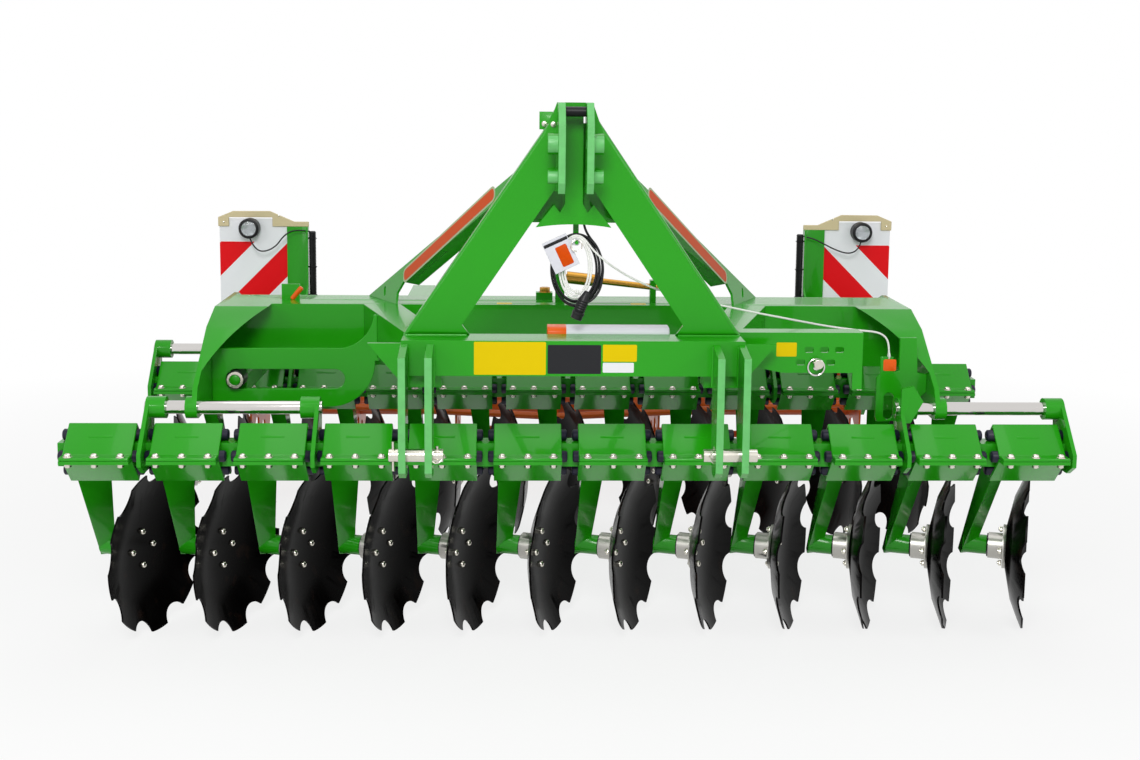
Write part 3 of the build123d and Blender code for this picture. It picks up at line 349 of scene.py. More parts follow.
@dataclass(frozen=True)
class LampGlass(Finish):
    """Clear moulded lens of a lamp: smooth, colourless, fluted, with the reflector seen through it."""

    name: str = "clear_lamp_lens"

    def filled(self, shader: Shader) -> bpy.types.Material:
        """Fill the tree.

        Args:
            shader: The empty tree.

        Returns:
            The finished material.
        """
        place = shader.add("TexCoord").outputs["Object"]
        flutes = shader.add("TexWave", Vector=place, Scale=45.0, bands_direction="X")
        bump = shader.add("Bump", Height=flutes.outputs["Fac"], Distance=0.0006, Strength=0.7)
        return shader.surface(
            Base_Color=srgb("E9EEF2"),
            Roughness=0.06,
            IOR=1.49,
            Transmission_Weight=0.85,
            Normal=bump.outputs["Normal"],
        )


# Powder-coated steel: a thick, even, glossy plastic film with a faint orange peel
GREEN = Coating(
    "green_powder_coat", "229A0E", 0.24, coat=0.25, coat_roughness=0.04, specular=0.2, drift=0.05, grain_mm=3
)
# Flame-cut plate edge under the same film: striped along its drag lines, and pale green as a painted
# highlight where the light falls on the front edges
CUT_EDGE_PAINTED_HIGHLIGHT = Coating(
    "flame_cut_edge_painted_highlight",
    "62B866",
    0.3,
    drift=0.2,
    drift_mm=25,
    grain_mm=3,
    grain_depth_mm=0.5,
    stretch=(0.2, 0.2, 2.5),
)
CREAM = Coating("cream_powder_coat", "D8C9A0", 0.4, specular=0.3)
ROLLER_PAINT = Coating(
    "orange_dipped_roller_paint", "C4560F", 0.36, specular=0.3, drift=0.2, drift_mm=90, stain_and_reflection="7A3E1C"
)
ORANGE = Coating("orange_powder_coat", "EE5E08", 0.34, specular=0.3)
# Hot-rolled boron steel under dipped black paint: near black with a soft sheen; its warm brown spots are a
# painted reflection
DISC_BLACK = Coating(
    "black_dipped_disc_paint",
    "060505",
    0.2,
    specular=0.03,
    drift=0.3,
    drift_mm=70,
    grain_mm=9,
    grain_depth_mm=0.06,
    stain_and_reflection="1C120D",
    stain_and_reflection_mm=60,
)
BLACK = Coating("black_oxide_steel", "101114", 0.4, specular=0.25)
# Ground and hard-chromed bar: mirror-like with a faint draw along the axis
BRIGHT = Coating(
    "hard_chromed_bar", "D2CFCC", 0.1, metallic=1.0, drift=0.03, roughness_drift=0.03, stretch=(0.05, 1, 1)
)
# Zinc-plated bolts and pins: pale metal with a warm passivated haze
ZINC = Coating("zinc_plated_steel", "D6D2C6", 0.22, metallic=1.0, drift=0.1, drift_mm=30)
BRASS = Coating("yellow_passivated_bolt", "B98A3C", 0.3, metallic=1.0, drift=0.12, drift_mm=20)
# Turned hub casting: satin grey metal with turning marks
HUB = Coating("turned_hub_casting", "B4B2AC", 0.34, metallic=0.85, drift=0.12, drift_mm=30, grain_mm=1.5)
# Moulded rubber: dull, dark, slightly blue, with a dusty bloom
RUBBER = Coating(
    "moulded_rubber_cord",
    "17162A",
    0.42,
    specular=0.3,
    drift=0.15,
    grain_mm=2,
    grain_depth_mm=0.05,
    stain_and_reflection="2A2838",
)
SEAL = Coating("rubber_seal_ring", "0E0E10", 0.6, specular=0.2)
WHITE_PLASTIC = Coating("white_moulded_plastic", "D6D6DE", 0.4, specular=0.3, drift=0.03)
BLACK_PLASTIC = Coating(
    "black_moulded_plastic", "0F0F12", 0.4, specular=0.3, grain_mm=1.5, grain_depth_mm=0.03
)
# Self-adhesive film: flat, even and satin
YELLOW_FILM = Coating("yellow_label_film", "DCC000", 0.38, specular=0.1, drift=0.02, drift_mm=60)
BLACK_FILM = Coating("black_label_film", "141519", 0.4, specular=0.3, drift=0.02, drift_mm=60)
WHITE_FILM = Coating("white_label_film", "E2E4E6", 0.38, specular=0.3, drift=0.02, drift_mm=60)
ORANGE_FILM = Coating("orange_decal_film", "D04A00", 0.36, specular=0.1, drift=0.03, drift_mm=60)
PALE_FILM = Coating("pale_decal_outline", "A8B48C", 0.36, specular=0.3, drift=0.03, drift_mm=60)
# Braided polyester rope: white, soft, each strand about 2 mm wide
ROPE = Coating(
    "braided_white_rope", "EEEEEA", 0.8, drift=0.08, drift_mm=12, grain_mm=2.2, grain_depth_mm=0.5
)
# Extruded PVC cable sheath: smooth black with a soft highlight
SHEATH = Coating("black_cable_sheath", "0C0C10", 0.34, specular=0.35, grain_mm=6, grain_depth_mm=0.02)


@dataclass(frozen=True)
class Skin:
    """How a CAD node is dressed: finish, width of broken edges, angle that stays sharp, and the finish of
    its front faces, a paler one that paints a highlight on them.
    """

    node: str
    finish: Finish
    edge_mm: float = 1.5
    smooth_degrees: float = 32.0
    ahead: Finish | None = None


@dataclass(frozen=True)
class Datum:
    """Frame millimetres: X from the frame's middle, distance behind the front beam's middle, and Z."""

    middle_x: float
    front_y: float

    @classmethod
    def of_mast(cls) -> Datum:
        """Find the datum from the mast and its peg."""
        low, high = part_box("mast")
        return cls((low.x + high.x) / 2, low.y + PEG_TIP_AHEAD * MM)

    def at(self, x: float, back: float, z: float) -> Vector:
        """The point in metres, in the row frame."""
        return Vector((self.middle_x + x * MM, self.front_y + back * MM, z * MM))


def placed(origin: Vector, up: Vector) -> Matrix:
    """A matrix that puts local Z along up at origin."""
    return Matrix.Translation(origin) @ up.to_track_quat("Z", "Y").to_matrix().to_4x4()


def shifted(x: float, y: float, z: float) -> Matrix:
    """A matrix that moves by these mm."""
    return Matrix.Translation((x * MM, y * MM, z * MM))


def laid(origin: Vector, normal: Vector, up: Vector) -> Matrix:
    """Find a place on a surface.

    Args:
        origin: The point on the surface.
        normal: The surface's normal there, which becomes local Z.
        up: A direction; the part of it that lies in the surface becomes local Y.

    Returns:
        The place.
    """
    rise = (up - normal * up.dot(normal)).normalized()
    across = rise.cross(normal)
    return Matrix.Translation(origin) @ Matrix((across, rise, normal)).transposed().to_4x4()


def join(target: Mesh, part: Mesh, seat: Matrix) -> None:
    """Put a finished shape into a larger mesh.

    Args:
        target: The mesh that takes it.
        part: The shape about the origin; it is freed.
        seat: Its place.
    """
    bmesh.ops.remove_doubles(part, verts=part.verts, dist=1e-6)
    bmesh.ops.recalc_face_normals(part, faces=part.faces)
    bmesh.ops.transform(part, matrix=seat, verts=part.verts)
    data = bpy.data.meshes.new("joining")
    part.to_mesh(data)
    part.free()
    target.from_mesh(data)
    bpy.data.meshes.remove(data)


def spun(target: Mesh, part: Mesh, seat: Matrix, steps: int) -> None:
    """Spin a wire shape about local Z and put it into a larger mesh.

    Args:
        target: The mesh that takes it.
        part: The wire shape; it is freed.
        seat: Its place.
        steps: Faces round it.
    """
    bmesh.ops.spin(
        part,
        geom=list(part.verts) + list(part.edges),
        cent=(0, 0, 0),
        axis=(0, 0, 1),
        angle=math.tau,
        steps=steps,
        use_merge=True,
        use_duplicate=False,
    )
    join(target, part, seat)


def turned(target: Mesh, profile: Outline, seat: Matrix, steps: int = 24) -> None:
    """Spin a profile about local Z.

    Args:
        target: The mesh that takes it.
        profile: Radius and height of each point, in mm.
        seat: Its place.
        steps: Faces round it.
    """
    part = bmesh.new()
    points = [part.verts.new((radius * MM, 0, height * MM)) for radius, height in profile]
    for pair in zip(points, points[1:]):
        part.edges.new(pair)
    spun(target, part, seat, steps)


def ring(target: Mesh, radius: float, wire: float, seat: Matrix) -> None:
    """Spin a round wire into a ring.

    Args:
        target: The mesh that takes it.
        radius: The ring's radius to the wire's middle, in mm.
        wire: The wire's radius, in mm.
        seat: Its place, with local Z as the ring's axis.
    """
    part = bmesh.new()
    bmesh.ops.create_circle(part, segments=WIRE_SIDES, radius=wire * MM)
    upright = shifted(radius, 0, 0) @ Matrix.Rotation(math.pi / 2, 4, "X")
    bmesh.ops.transform(part, matrix=upright, verts=part.verts)
    spun(target, part, seat, RING_STEPS)


def rod(target: Mesh, start: Vector, end: Vector, radius: float, broken: float = 0.8) -> None:
    """Add a round bar with broken ends.

    Args:
        target: The mesh that takes it.
        start: The middle of one end.
        end: The middle of the other end.
        radius: Its radius, in mm.
        broken: The width of its broken end edges, in mm.
    """
    length = (end - start).length / MM
    profile = [(0, 0), (radius - broken, 0), (radius, broken)]
    profile += [(radius, length - broken), (radius - broken, length), (0, length)]
    turned(target, profile, placed(start, end - start), ROD_STEPS)


def slab(target: Mesh, outline: Outline, depth: float, seat: Matrix, broken: float = 0.0) -> None:
    """Extrude an outline and break its edges.

    Args:
        target: The mesh that takes it.
        outline: Points in the local XY plane, in mm.
        depth: The thickness along local Z, in mm.
        seat: Its place.
        broken: The width of its broken edges, in mm.
    """
    part = bmesh.new()
    face = part.faces.new([part.verts.new((u * MM, v * MM, 0)) for u, v in outline])
    raised = bmesh.ops.extrude_face_region(part, geom=[face])["geom"]
    tops = [v for v in raised if isinstance(v, bmesh.types.BMVert)]
    bmesh.ops.translate(part, vec=(0, 0, depth * MM), verts=tops)
    bmesh.ops.recalc_face_normals(part, faces=part.faces)
    if broken > 0:
        bmesh.ops.bevel(
            part,
            geom=list(part.edges),
            offset=broken * MM,
            segments=2,
            profile=0.5,
            affect="EDGES",
            material=-1,
            clamp_overlap=True,
        )
    join(target, part, seat)


def hex_outline(across_flats: float) -> Outline:
    """The six corners of a hexagon, in mm."""
    radius = across_flats / math.sqrt(3)
    return [(radius * math.cos(k * math.pi / 3), radius * math.sin(k * math.pi / 3)) for k in range(6)]


def rounded(width: float, height: float, radius: float) -> Outline:
    """The outline of a rectangle with round corners, about the origin.

    Args:
        width: Its size along local X, in mm.
        height: Its size along local Y, in mm.
        radius: The radius of its corners, in mm.

    Returns:
        Its points, in mm.
    """
    points = []
    for corner in range(4):
        cx = (width / 2 - radius) * (1 if corner in (0, 3) else -1)
        cy = (height / 2 - radius) * (1 if corner in (0, 1) else -1)
        for step in range(5):
            angle = math.pi / 2 * (corner + step / 4)
            points.append((cx + radius * math.cos(angle), cy + radius * math.sin(angle)))
    return points


@dataclass(frozen=True)
class Bolt:
    """A bolt or nut on its washer, with a domed or a hex head, sized in mm. The tip is thread past a nut."""

    across: float
    head: float
    washer: float = 0.0
    washer_thick: float = 2.5
    domed: bool = False
    tip: float = 0.0
    thread_share: float = 0.66
    dome: tuple[Pair, ...] = ((0, 0), (1, 0), (1, 0.25), (0.86, 0.66), (0.5, 0.94), (0, 1))

    def add(self, mesh: Mesh, origin: Vector, up: Vector) -> None:
        """Add one.

        Args:
            mesh: The mesh that takes it.
            origin: The point on the seat.
            up: The way that the head faces.
        """
        seat = placed(origin, up)
        radius = self.across / 2
        rise = 0.0
        if self.washer > 0:
            rise = self.washer_thick
            rim = [(self.washer, 0), (self.washer, rise - 0.5), (self.washer - 0.6, rise)]
            turned(mesh, [(0, 0)] + rim + [(0, rise)], seat, 18)
        if self.domed:
            turned(mesh, [(out * radius, rise + share * self.head) for out, share in self.dome], seat, 16)
            return
        slab(mesh, hex_outline(self.across), self.head, seat @ shifted(0, 0, rise), 1.2)
        if self.tip > 0:
            foot = rise + self.head - 1
            top = rise + self.head + self.tip
            thread = radius * self.thread_share
            end = [(thread, foot), (thread, top - 1), (thread - 0.1 * radius, top)]
            turned(mesh, [(0, foot)] + end + [(0, top)], seat, 14)


@dataclass
class Workshop:
    """Turns CAD nodes and new meshes into finished pieces that ride on their bodies."""

    frame: dict
    datum: Datum
    made: list[str] = field(default_factory=list)
    trees: dict[str, BVHTree] = field(default_factory=dict)

    def body_of(self, node: str) -> str:
        """The CAD body that a node belongs to."""
        return self.frame["nodes"][node]["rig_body"]

    def probe(self, node: str, start: Vector, way: Facing) -> tuple[Vector, Vector]:
        """Find where a line first meets a CAD node.

        Args:
            node: The node.
            start: The line's start.
            way: Its direction.

        Returns:
            The point and the surface's normal there, which faces the start.
        """
        if node not in self.trees:
            mesh = bmesh.new()
            mesh.from_mesh(self.frame["nodes"][node].data)
            self.trees[node] = BVHTree.FromBMesh(mesh)
            mesh.free()
        point, normal, _, _ = self.trees[node].ray_cast(start, way.vector)
        if point is None:
            raise ValueError("nothing of %s lies that way from %s" % (node, tuple(start)))
        if normal.dot(way.vector) > 0:
            normal = -normal
        return point, normal

    def seat(self, node: str, x: float, z: float) -> tuple[Vector, Vector]:
        """The surface of a node behind a point of the front view, in frame millimetres."""
        return self.probe(node, self.datum.at(x, AHEAD_OF_ALL, z), Facing.REARWARD)

    def merged(self, node: str) -> Mesh:
        """Copy a CAD node's mesh, with its doubles merged and its flat faces joined.

        Args:
            node: The node.

        Returns:
            The copy.
        """
        mesh = bmesh.new()
        mesh.from_mesh(self.frame["nodes"][node].data)
        bmesh.ops.remove_doubles(mesh, verts=mesh.verts, dist=1e-5)
        flat = math.radians(FLAT_DEGREES)
        bmesh.ops.dissolve_limit(mesh, angle_limit=flat, verts=mesh.verts, edges=mesh.edges)
        return mesh

    def dress(self, skin: Skin) -> None:
        """Stand a merged, smooth-shaded copy with broken edges in for a CAD node.

        Args:
            skin: What the node is dressed with.
        """
        mesh = self.merged(skin.node)
        more = (skin.ahead,) if skin.ahead else ()
        if more:
            mesh.normal_update()
            # Faces that look ahead take the second finish, a paler colour that paints a highlight on them
            for face in mesh.faces:
                face.material_index = int(face.normal.y < LOOKS_AHEAD)
        name, body = skin.node + "_skin", self.body_of(skin.node)
        piece = self.finish(mesh, name, skin.finish, body, skin.smooth_degrees, more)
        if skin.edge_mm > 0:
            self.break_edges(piece, skin.edge_mm)
        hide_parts(skin.node)

    def break_edges(self, piece: bpy.types.Object, width_mm: float) -> None:
        """Round a piece's sharp edges by a live bevel.

        Args:
            piece: The piece.
            width_mm: The width of the bevel.
        """
        edge = piece.modifiers.new("broken_edges", "BEVEL")
        edge.width = width_mm * MM
        edge.segments = 2
        edge.limit_method = "ANGLE"
        edge.angle_limit = math.radians(BEVEL_DEGREES)
        edge.miter_outer = "MITER_ARC"
        edge.use_clamp_overlap = True
        edge.harden_normals = False

    def adopt(
        self, name: str, data: bpy.types.Mesh | bpy.types.Curve, finishes: tuple[Finish, ...], body: str
    ) -> bpy.types.Object:
        """Put finished data into the scene as a piece.

        Args:
            name: The piece's name.
            data: Its mesh or curve.
            finishes: The finishes of its slots.
            body: The CAD body that it rides on.

        Returns:
            The new piece.
        """
        for finish in finishes:
            data.materials.append(finish.build())
        piece = bpy.data.objects.new(name, data)
        bpy.context.scene.collection.objects.link(piece)
        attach(piece, body)
        self.made.append(name)
        return piece

    def finish(
        self,
        mesh: Mesh,
        name: str,
        finish: Finish,
        body: str = "frame",
        smooth_degrees: float = 35.0,
        more: tuple[Finish, ...] = (),
    ) -> bpy.types.Object:
        """Turn a bmesh into a piece.

        Args:
            mesh: The shape, in the row frame; it is freed.
            name: The piece's name.
            finish: Its finish.
            body: The CAD body that it rides on.
            smooth_degrees: Edges sharper than this stay sharp.
            more: Finishes of its further material slots.

        Returns:
            The new piece.
        """
        data = bpy.data.meshes.new(name)
        mesh.to_mesh(data)
        mesh.free()
        data.shade_smooth()
        data.set_sharp_from_angle(angle=math.radians(smooth_degrees))
        log.info("%s: %d faces on %s", name, len(data.polygons), body)
        return self.adopt(name, data, (finish,) + more, body)

    def turned_piece(
        self,
        name: str,
        finish: Finish,
        profile: Outline,
        seat: Matrix,
        steps: int = 24,
        body: str = "frame",
        smooth_degrees: float = 35.0,
    ) -> bpy.types.Object:
        """Make a piece of one turned shape.

        Args:
            name: The piece's name.
            finish: Its finish.
            profile: Radius and height of each point, in mm.
            seat: Its place.
            steps: Faces round it.
            body: The CAD body that it rides on.
            smooth_degrees: Edges sharper than this stay sharp.

        Returns:
            The new piece.
        """
        mesh = bmesh.new()
        turned(mesh, profile, seat, steps)
        return self.finish(mesh, name, finish, body, smooth_degrees)

    def slab_piece(
        self, name: str, finish: Finish, outline: Outline, depth: float, seat: Matrix, broken: float = 0.0
    ) -> None:
        """Make a piece of one slab on the frame.

        Args:
            name: The piece's name.
            finish: Its finish.
            outline: Points in the local XY plane, in mm.
            depth: The thickness along local Z, in mm.
            seat: Its place.
            broken: The width of its broken edges, in mm.
        """
        mesh = bmesh.new()
        slab(mesh, outline, depth, seat, broken)
        self.finish(mesh, name, finish)

    def line(self, name: str, points: list[Vector], radius: float, finish: Finish) -> bpy.types.Object:
        """Lay a round cord on the frame along a smooth curve.

        Args:
            name: The piece's name.
            points: The control points of its spline.
            radius: Its radius, in mm.
            finish: Its finish.

        Returns:
            The new piece.
        """
        data = bpy.data.curves.new(name, "CURVE")
        data.dimensions = "3D"
        data.bevel_depth = radius * MM
        data.bevel_resolution = 3
        data.resolution_u = 8
        data.use_fill_caps = True
        spline = data.splines.new("NURBS")
        spline.points.add(len(points) - 1)
        for spot, point in zip(spline.points, points):
            spot.co = (point.x, point.y, point.z, 1.0)
        spline.order_u = 3
        spline.use_endpoint_u = True
        log.info("%s: cord of %d points", name, len(points))
        return self.adopt(name, data, (finish,), "frame")


@dataclass
class DiscRow:
    """One row: its beam, clamps, arms, cords and discs, with the bolts that hold them. Sizes in mm."""

    shop: Workshop
    row: Row
    discs: int = 12
    pitch: float = 250.0
    flange_reach: float = 105.0
    flange_thick: float = 10.0
    bolt_step: float = 75.0
    clamp_head: Bolt = Bolt(across=21, head=9, washer=14, domed=True)
    clamp_nut: Bolt = Bolt(across=19, head=7, washer=11, tip=2)
    strip_height: float = 0.62
    hub_flange: float = 70.0
    hub_length: float = 55.0
    hub_behind: float = 0.3
    hub_ahead: float = 1.0
    blade: float = 6.0
    bolt_circle: float = 54.0
    nut_circle: float = 56.0
    nut_drop: float = 12.0
    disc_head: Bolt = Bolt(across=22, head=11, domed=True)
    disc_nut: Bolt = Bolt(across=17, head=9, tip=4)
    seal_inner: float = 21.0
    seal_outer: float = 37.0
    seal_thick: float = 4.0
    cord_end: float = 7.0
    cord_broken: float = 3.5

    def named(self, word: str) -> str:
        """A name that starts with the row's word."""
        return self.row.value + "_" + word

    def build(self) -> None:
        """Dress the row's nodes and add its bolts."""
        self.shop.dress(Skin(self.named("row_beam"), GREEN))
        self.shop.dress(Skin(self.named("slide_bars"), BRIGHT, 1.0))
        self.shop.dress(Skin(self.named("upper_clamps"), GREEN, 3.0))
        self.shop.dress(Skin(self.named("arms"), GREEN, 2.0))
        self.cords()
        for number in range(1, self.discs + 1):
            self.disc(self.named("disc_%02d" % number))
        self.clamp_bolts()
        self.pressed_strips()

    def cords(self) -> None:
        """Round rubber cords in place of the CAD's eight-sided ones."""
        node = self.named("rubber_cords")
        source = self.shop.merged(node)
        mesh = bmesh.new()
        waiting = set(source.verts)
        while waiting:
            found = [waiting.pop()]
            for vert in found:
                near = {e.other_vert(vert) for e in vert.link_edges} & waiting
                waiting -= near
                found += near
            low = Vector([min(v.co[k] for v in found) for k in range(3)])
            high = Vector([max(v.co[k] for v in found) for k in range(3)])
            middle = (low + high) / 2
            left = Vector((low.x - self.cord_end * MM, middle.y, middle.z))
            right = Vector((high.x + self.cord_end * MM, middle.y, middle.z))
            rod(mesh, left, right, (high.y - low.y) / 2 / MM, self.cord_broken)
        source.free()
        piece = self.shop.finish(mesh, node + "_skin", RUBBER, self.named("row"), 50.0)
        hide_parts(node)

    def beam_centre(self) -> Vector:
        """The middle of the row's beam."""
        low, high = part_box(self.named("rubber_cords"))
        return (low + high) / 2

    def clamp_places(self) -> list[float]:
        """X of each clamp's middle."""
        middle = self.beam_centre().x
        return [middle + (i - (self.discs - 1) / 2) * self.pitch * MM for i in range(self.discs)]

    def clamp_bolts(self) -> None:
        """Three bolts through each clamp's front and rear flanges, domed heads up and nuts under."""
        rise = Vector((0, 0, self.flange_thick * MM))
        mesh = bmesh.new()
        for x in self.clamp_places():
            for side in (-1, 1):
                for step in (-1, 0, 1):
                    place = self.beam_centre()
                    place.x = x + step * self.bolt_step * MM
                    place.y += side * self.flange_reach * MM
                    self.clamp_head.add(mesh, place + rise, Facing.UPWARD.vector)
                    self.clamp_nut.add(mesh, place - rise, Facing.DOWNWARD.vector)
        self.shop.finish(mesh, self.named("clamp_bolts"), ZINC, self.named("row"))

    def pressed_strips(self) -> None:
        """A raised strip on each upper clamp's front face."""
        node = self.named("upper_clamps")
        low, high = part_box(node)
        mesh = bmesh.new()
        for x in self.clamp_places():
            start = Vector((x, low.y - 0.3, low.z + (high.z - low.z) * self.strip_height))
            point, normal = self.shop.probe(node, start, Facing.REARWARD)
            slab(mesh, rounded(70, 9, 3), 0.5, laid(point, normal, Facing.UPWARD.vector), 0.2)
        self.shop.finish(mesh, self.named("pressed_strips"), GREEN, self.named("row"))

    def disc(self, node: str) -> None:
        """One disc with its silver hub, its bolts on the hollow side, its nuts and its seal ring.

        Args:
            node: The disc's CAD node.
        """
        joint = next(j for j in self.shop.frame["joints"] if j["name"] == node + "_turn")
        axis = Vector(joint["axis"])
        seat = placed(Vector(joint["pos_m"]), axis)
        back = seat.inverted()
        mesh = self.shop.merged(node)
        for face in mesh.faces:
            spot = back @ face.calc_center_median()
            radius = math.hypot(spot.x, spot.y) / MM
            if spot.z < -self.hub_behind * MM or (radius < self.hub_flange and spot.z < self.hub_ahead * MM):
                face.material_index = 1
        piece = self.shop.finish(mesh, node + "_skin", DISC_BLACK, node, 30.0, (HUB,))
        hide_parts(node)
        fixings = bmesh.new()
        for quarter in range(4):
            spoke = Matrix.Rotation(quarter * math.pi / 2, 4, "Z") @ Vector((self.bolt_circle * MM, 0, 0))
            nut_spoke = spoke * (self.nut_circle / self.bolt_circle)
            self.disc_head.add(fixings, seat @ (spoke + Vector((0, 0, self.blade * MM))), axis)
            self.disc_nut.add(fixings, seat @ (nut_spoke - Vector((0, 0, self.nut_drop * MM))), -axis)
        self.shop.finish(fixings, node + "_bolts", ZINC, node)
        end = seat @ shifted(0, 0, -self.hub_length) @ Matrix.Rotation(math.pi, 4, "X")
        inner, outer, thick = self.seal_inner, self.seal_outer, self.seal_thick
        profile = [(inner, 0), (outer, 0), (outer, thick), (inner, thick), (inner, 0)]
        self.shop.turned_piece(node + "_seal", SEAL, profile, end, body=node)


@dataclass
class Chassis:
    """The frame's own nodes."""

    shop: Workshop
    skins: tuple[Skin, ...] = (
        Skin("main_beam", GREEN, 6.0),
        Skin("side_plates", GREEN),
        Skin("slot_plate", GREEN),
        Skin("headstock_beam", GREEN, 5.0),
        Skin("mast", GREEN),
        # The link plates' front edges take a paler green, a painted highlight
        Skin("top_link_plates", GREEN, ahead=CUT_EDGE_PAINTED_HIGHLIGHT),
        Skin("spacer_sleeve", BLACK, 1.0),
        Skin("lower_link_plates", GREEN, ahead=CUT_EDGE_PAINTED_HIGHLIGHT),
        Skin("steel_pins", ZINC, 1.0),
        Skin("spindle_rod", BRASS, 1.0),
        Skin("braces", GREEN),
        Skin("stop_bracket", GREEN),
        Skin("latch_plate", GREEN),
        Skin("rear_frame", GREEN, 4.0),
        Skin("cage_roller", ROLLER_PAINT, 0.0),
        Skin("board_posts", GREEN),
        Skin("board_caps", CREAM, 2.0),
        Skin("warning_boards", StripedSheet(), 0.0),
        Skin("round_lamps", BLACK_PLASTIC, 3.0),
        Skin("document_case", WHITE_PLASTIC, 3.0),
        Skin("document_pouch", WHITE_PLASTIC),
        Skin("offset_bushing", BLACK, 3.0),
    )

    def build(self) -> None:
        """Dress every node of the frame."""
        for skin in self.skins:
            self.shop.dress(skin)


@dataclass(frozen=True)
class Film:
    """A bare label: its name, finish, CAD node and corners in the front view (X, Z in frame mm)."""

    name: str
    finish: Finish
    node: str
    left: float
    low: float
    right: float
    high: float


@dataclass
class Labels:
    """Bare films and stickers on the frame, each lying on its surface. Sizes in mm."""

    shop: Workshop
    thick: float = 0.4
    films: tuple[Film, ...] = (
        Film("left_yellow_label", YELLOW_FILM, "headstock_beam", -278, 904, -78, 997),
        Film("type_plate", BLACK_FILM, "headstock_beam", -73, 907, 76, 989),
        Film("right_yellow_label", YELLOW_FILM, "headstock_beam", 81, 942, 176, 990),
        Film("right_white_label", WHITE_FILM, "headstock_beam", 81, 911, 168, 939),
        Film("bracket_label", YELLOW_FILM, "stop_bracket", 591, 935, 650, 976),
    )
    sticker_places: tuple[float, ...] = (-199.0, 240.0)
    sticker_inset: float = 30.0
    band_foot: Pair = (505, 1110)
    band_head: Pair = (245, 1375)
    band_stretch: float = 1.16

    def build(self) -> None:
        """Lay the films, the two stickers on the main beam and the bands on the braces."""
        for film in self.films:
            self.film(film)
        self.stickers()
        self.brace_bands()

    def film(self, film: Film) -> None:
        """Lay one film on the front face behind it.

        Args:
            film: The film.
        """
        point, normal = self.shop.seat(film.node, (film.left + film.right) / 2, (film.low + film.high) / 2)
        outline = rounded(film.right - film.left, film.high - film.low, 3)
        seat = laid(point, normal, Facing.UPWARD.vector)
        self.shop.slab_piece(film.name, film.finish, outline, self.thick, seat)

    def stickers(self) -> None:
        """Two small yellow stickers near the front edge of the main beam's top."""
        low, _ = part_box("main_beam")
        mesh = bmesh.new()
        for x in self.sticker_places:
            start = self.shop.datum.at(x, 0, ABOVE_BEAM)
            start.y = low.y + self.sticker_inset * MM
            point, normal = self.shop.probe("main_beam", start, Facing.DOWNWARD)
            slab(mesh, rounded(50, 34, 3), self.thick, laid(point, normal, Facing.REARWARD.vector))
        self.shop.finish(mesh, "beam_stickers", YELLOW_FILM)

    def brace_bands(self) -> None:
        """A plain orange band with a pale border along each brace's web."""
        for side, word in ((-1, "left"), (1, "right")):
            foot, foot_up = self.shop.seat("braces", side * self.band_foot[0], self.band_foot[1])
            head, head_up = self.shop.seat("braces", side * self.band_head[0], self.band_head[1])
            seat = laid((foot + head) / 2, (foot_up + head_up).normalized(), (head - foot).normalized())
            length = (head - foot).length / MM * self.band_stretch
            border, band = rounded(52, length, 20), rounded(38, length - 14, 14)
            self.shop.slab_piece(word + "_brace_band_border", PALE_FILM, border, self.thick, seat)
            above = seat @ shifted(0, 0, 0.35)
            self.shop.slab_piece(word + "_brace_band", ORANGE_FILM, band, self.thick, above)


@dataclass
class Welds:
    """Painted weld beads where plates meet, as ripples half sunk in their corners. Sizes in mm."""

    shop: Workshop
    bead: float = 4.0
    ripple: float = 5.0
    seams: tuple[tuple[Spot, Spot], ...] = (
        ((389, -255, 868), (389, -255, 984)),
        ((409, -255, 868), (409, -255, 984)),
        ((461, -255, 868), (461, -255, 984)),
        ((481, -255, 868), (481, -255, 984)),
        ((300, -160, 1000), (478, -160, 1000)),
        ((49, -160, 1412), (49, -160, 1600)),
    )

    def build(self) -> None:
        """Lay each seam on both sides of the frame's middle."""
        mesh = bmesh.new()
        for seam in self.seams:
            for side in (-1, 1):
                start, end = (self.shop.datum.at(side * x, back, z) for x, back, z in seam)
                self.seam(mesh, start, end)
        self.shop.finish(mesh, "weld_beads", GREEN, smooth_degrees=60)

    def seam(self, mesh: Mesh, start: Vector, end: Vector) -> None:
        """Add one rippled bead.

        Args:
            mesh: The mesh that takes it.
            start: Its start.
            end: Its end.
        """
        length = (end - start).length / MM
        count = max(2, round(length / self.ripple))
        step = length / count
        profile = [(0.0, 0.0)]
        for number in range(count):
            profile += [(self.bead - 0.9, number * step + 0.1 * step), (self.bead, (number + 0.6) * step)]
        profile += [(self.bead - 1, length - 0.05 * step), (0.0, length)]
        turned(mesh, profile, placed(start, end - start), 8)


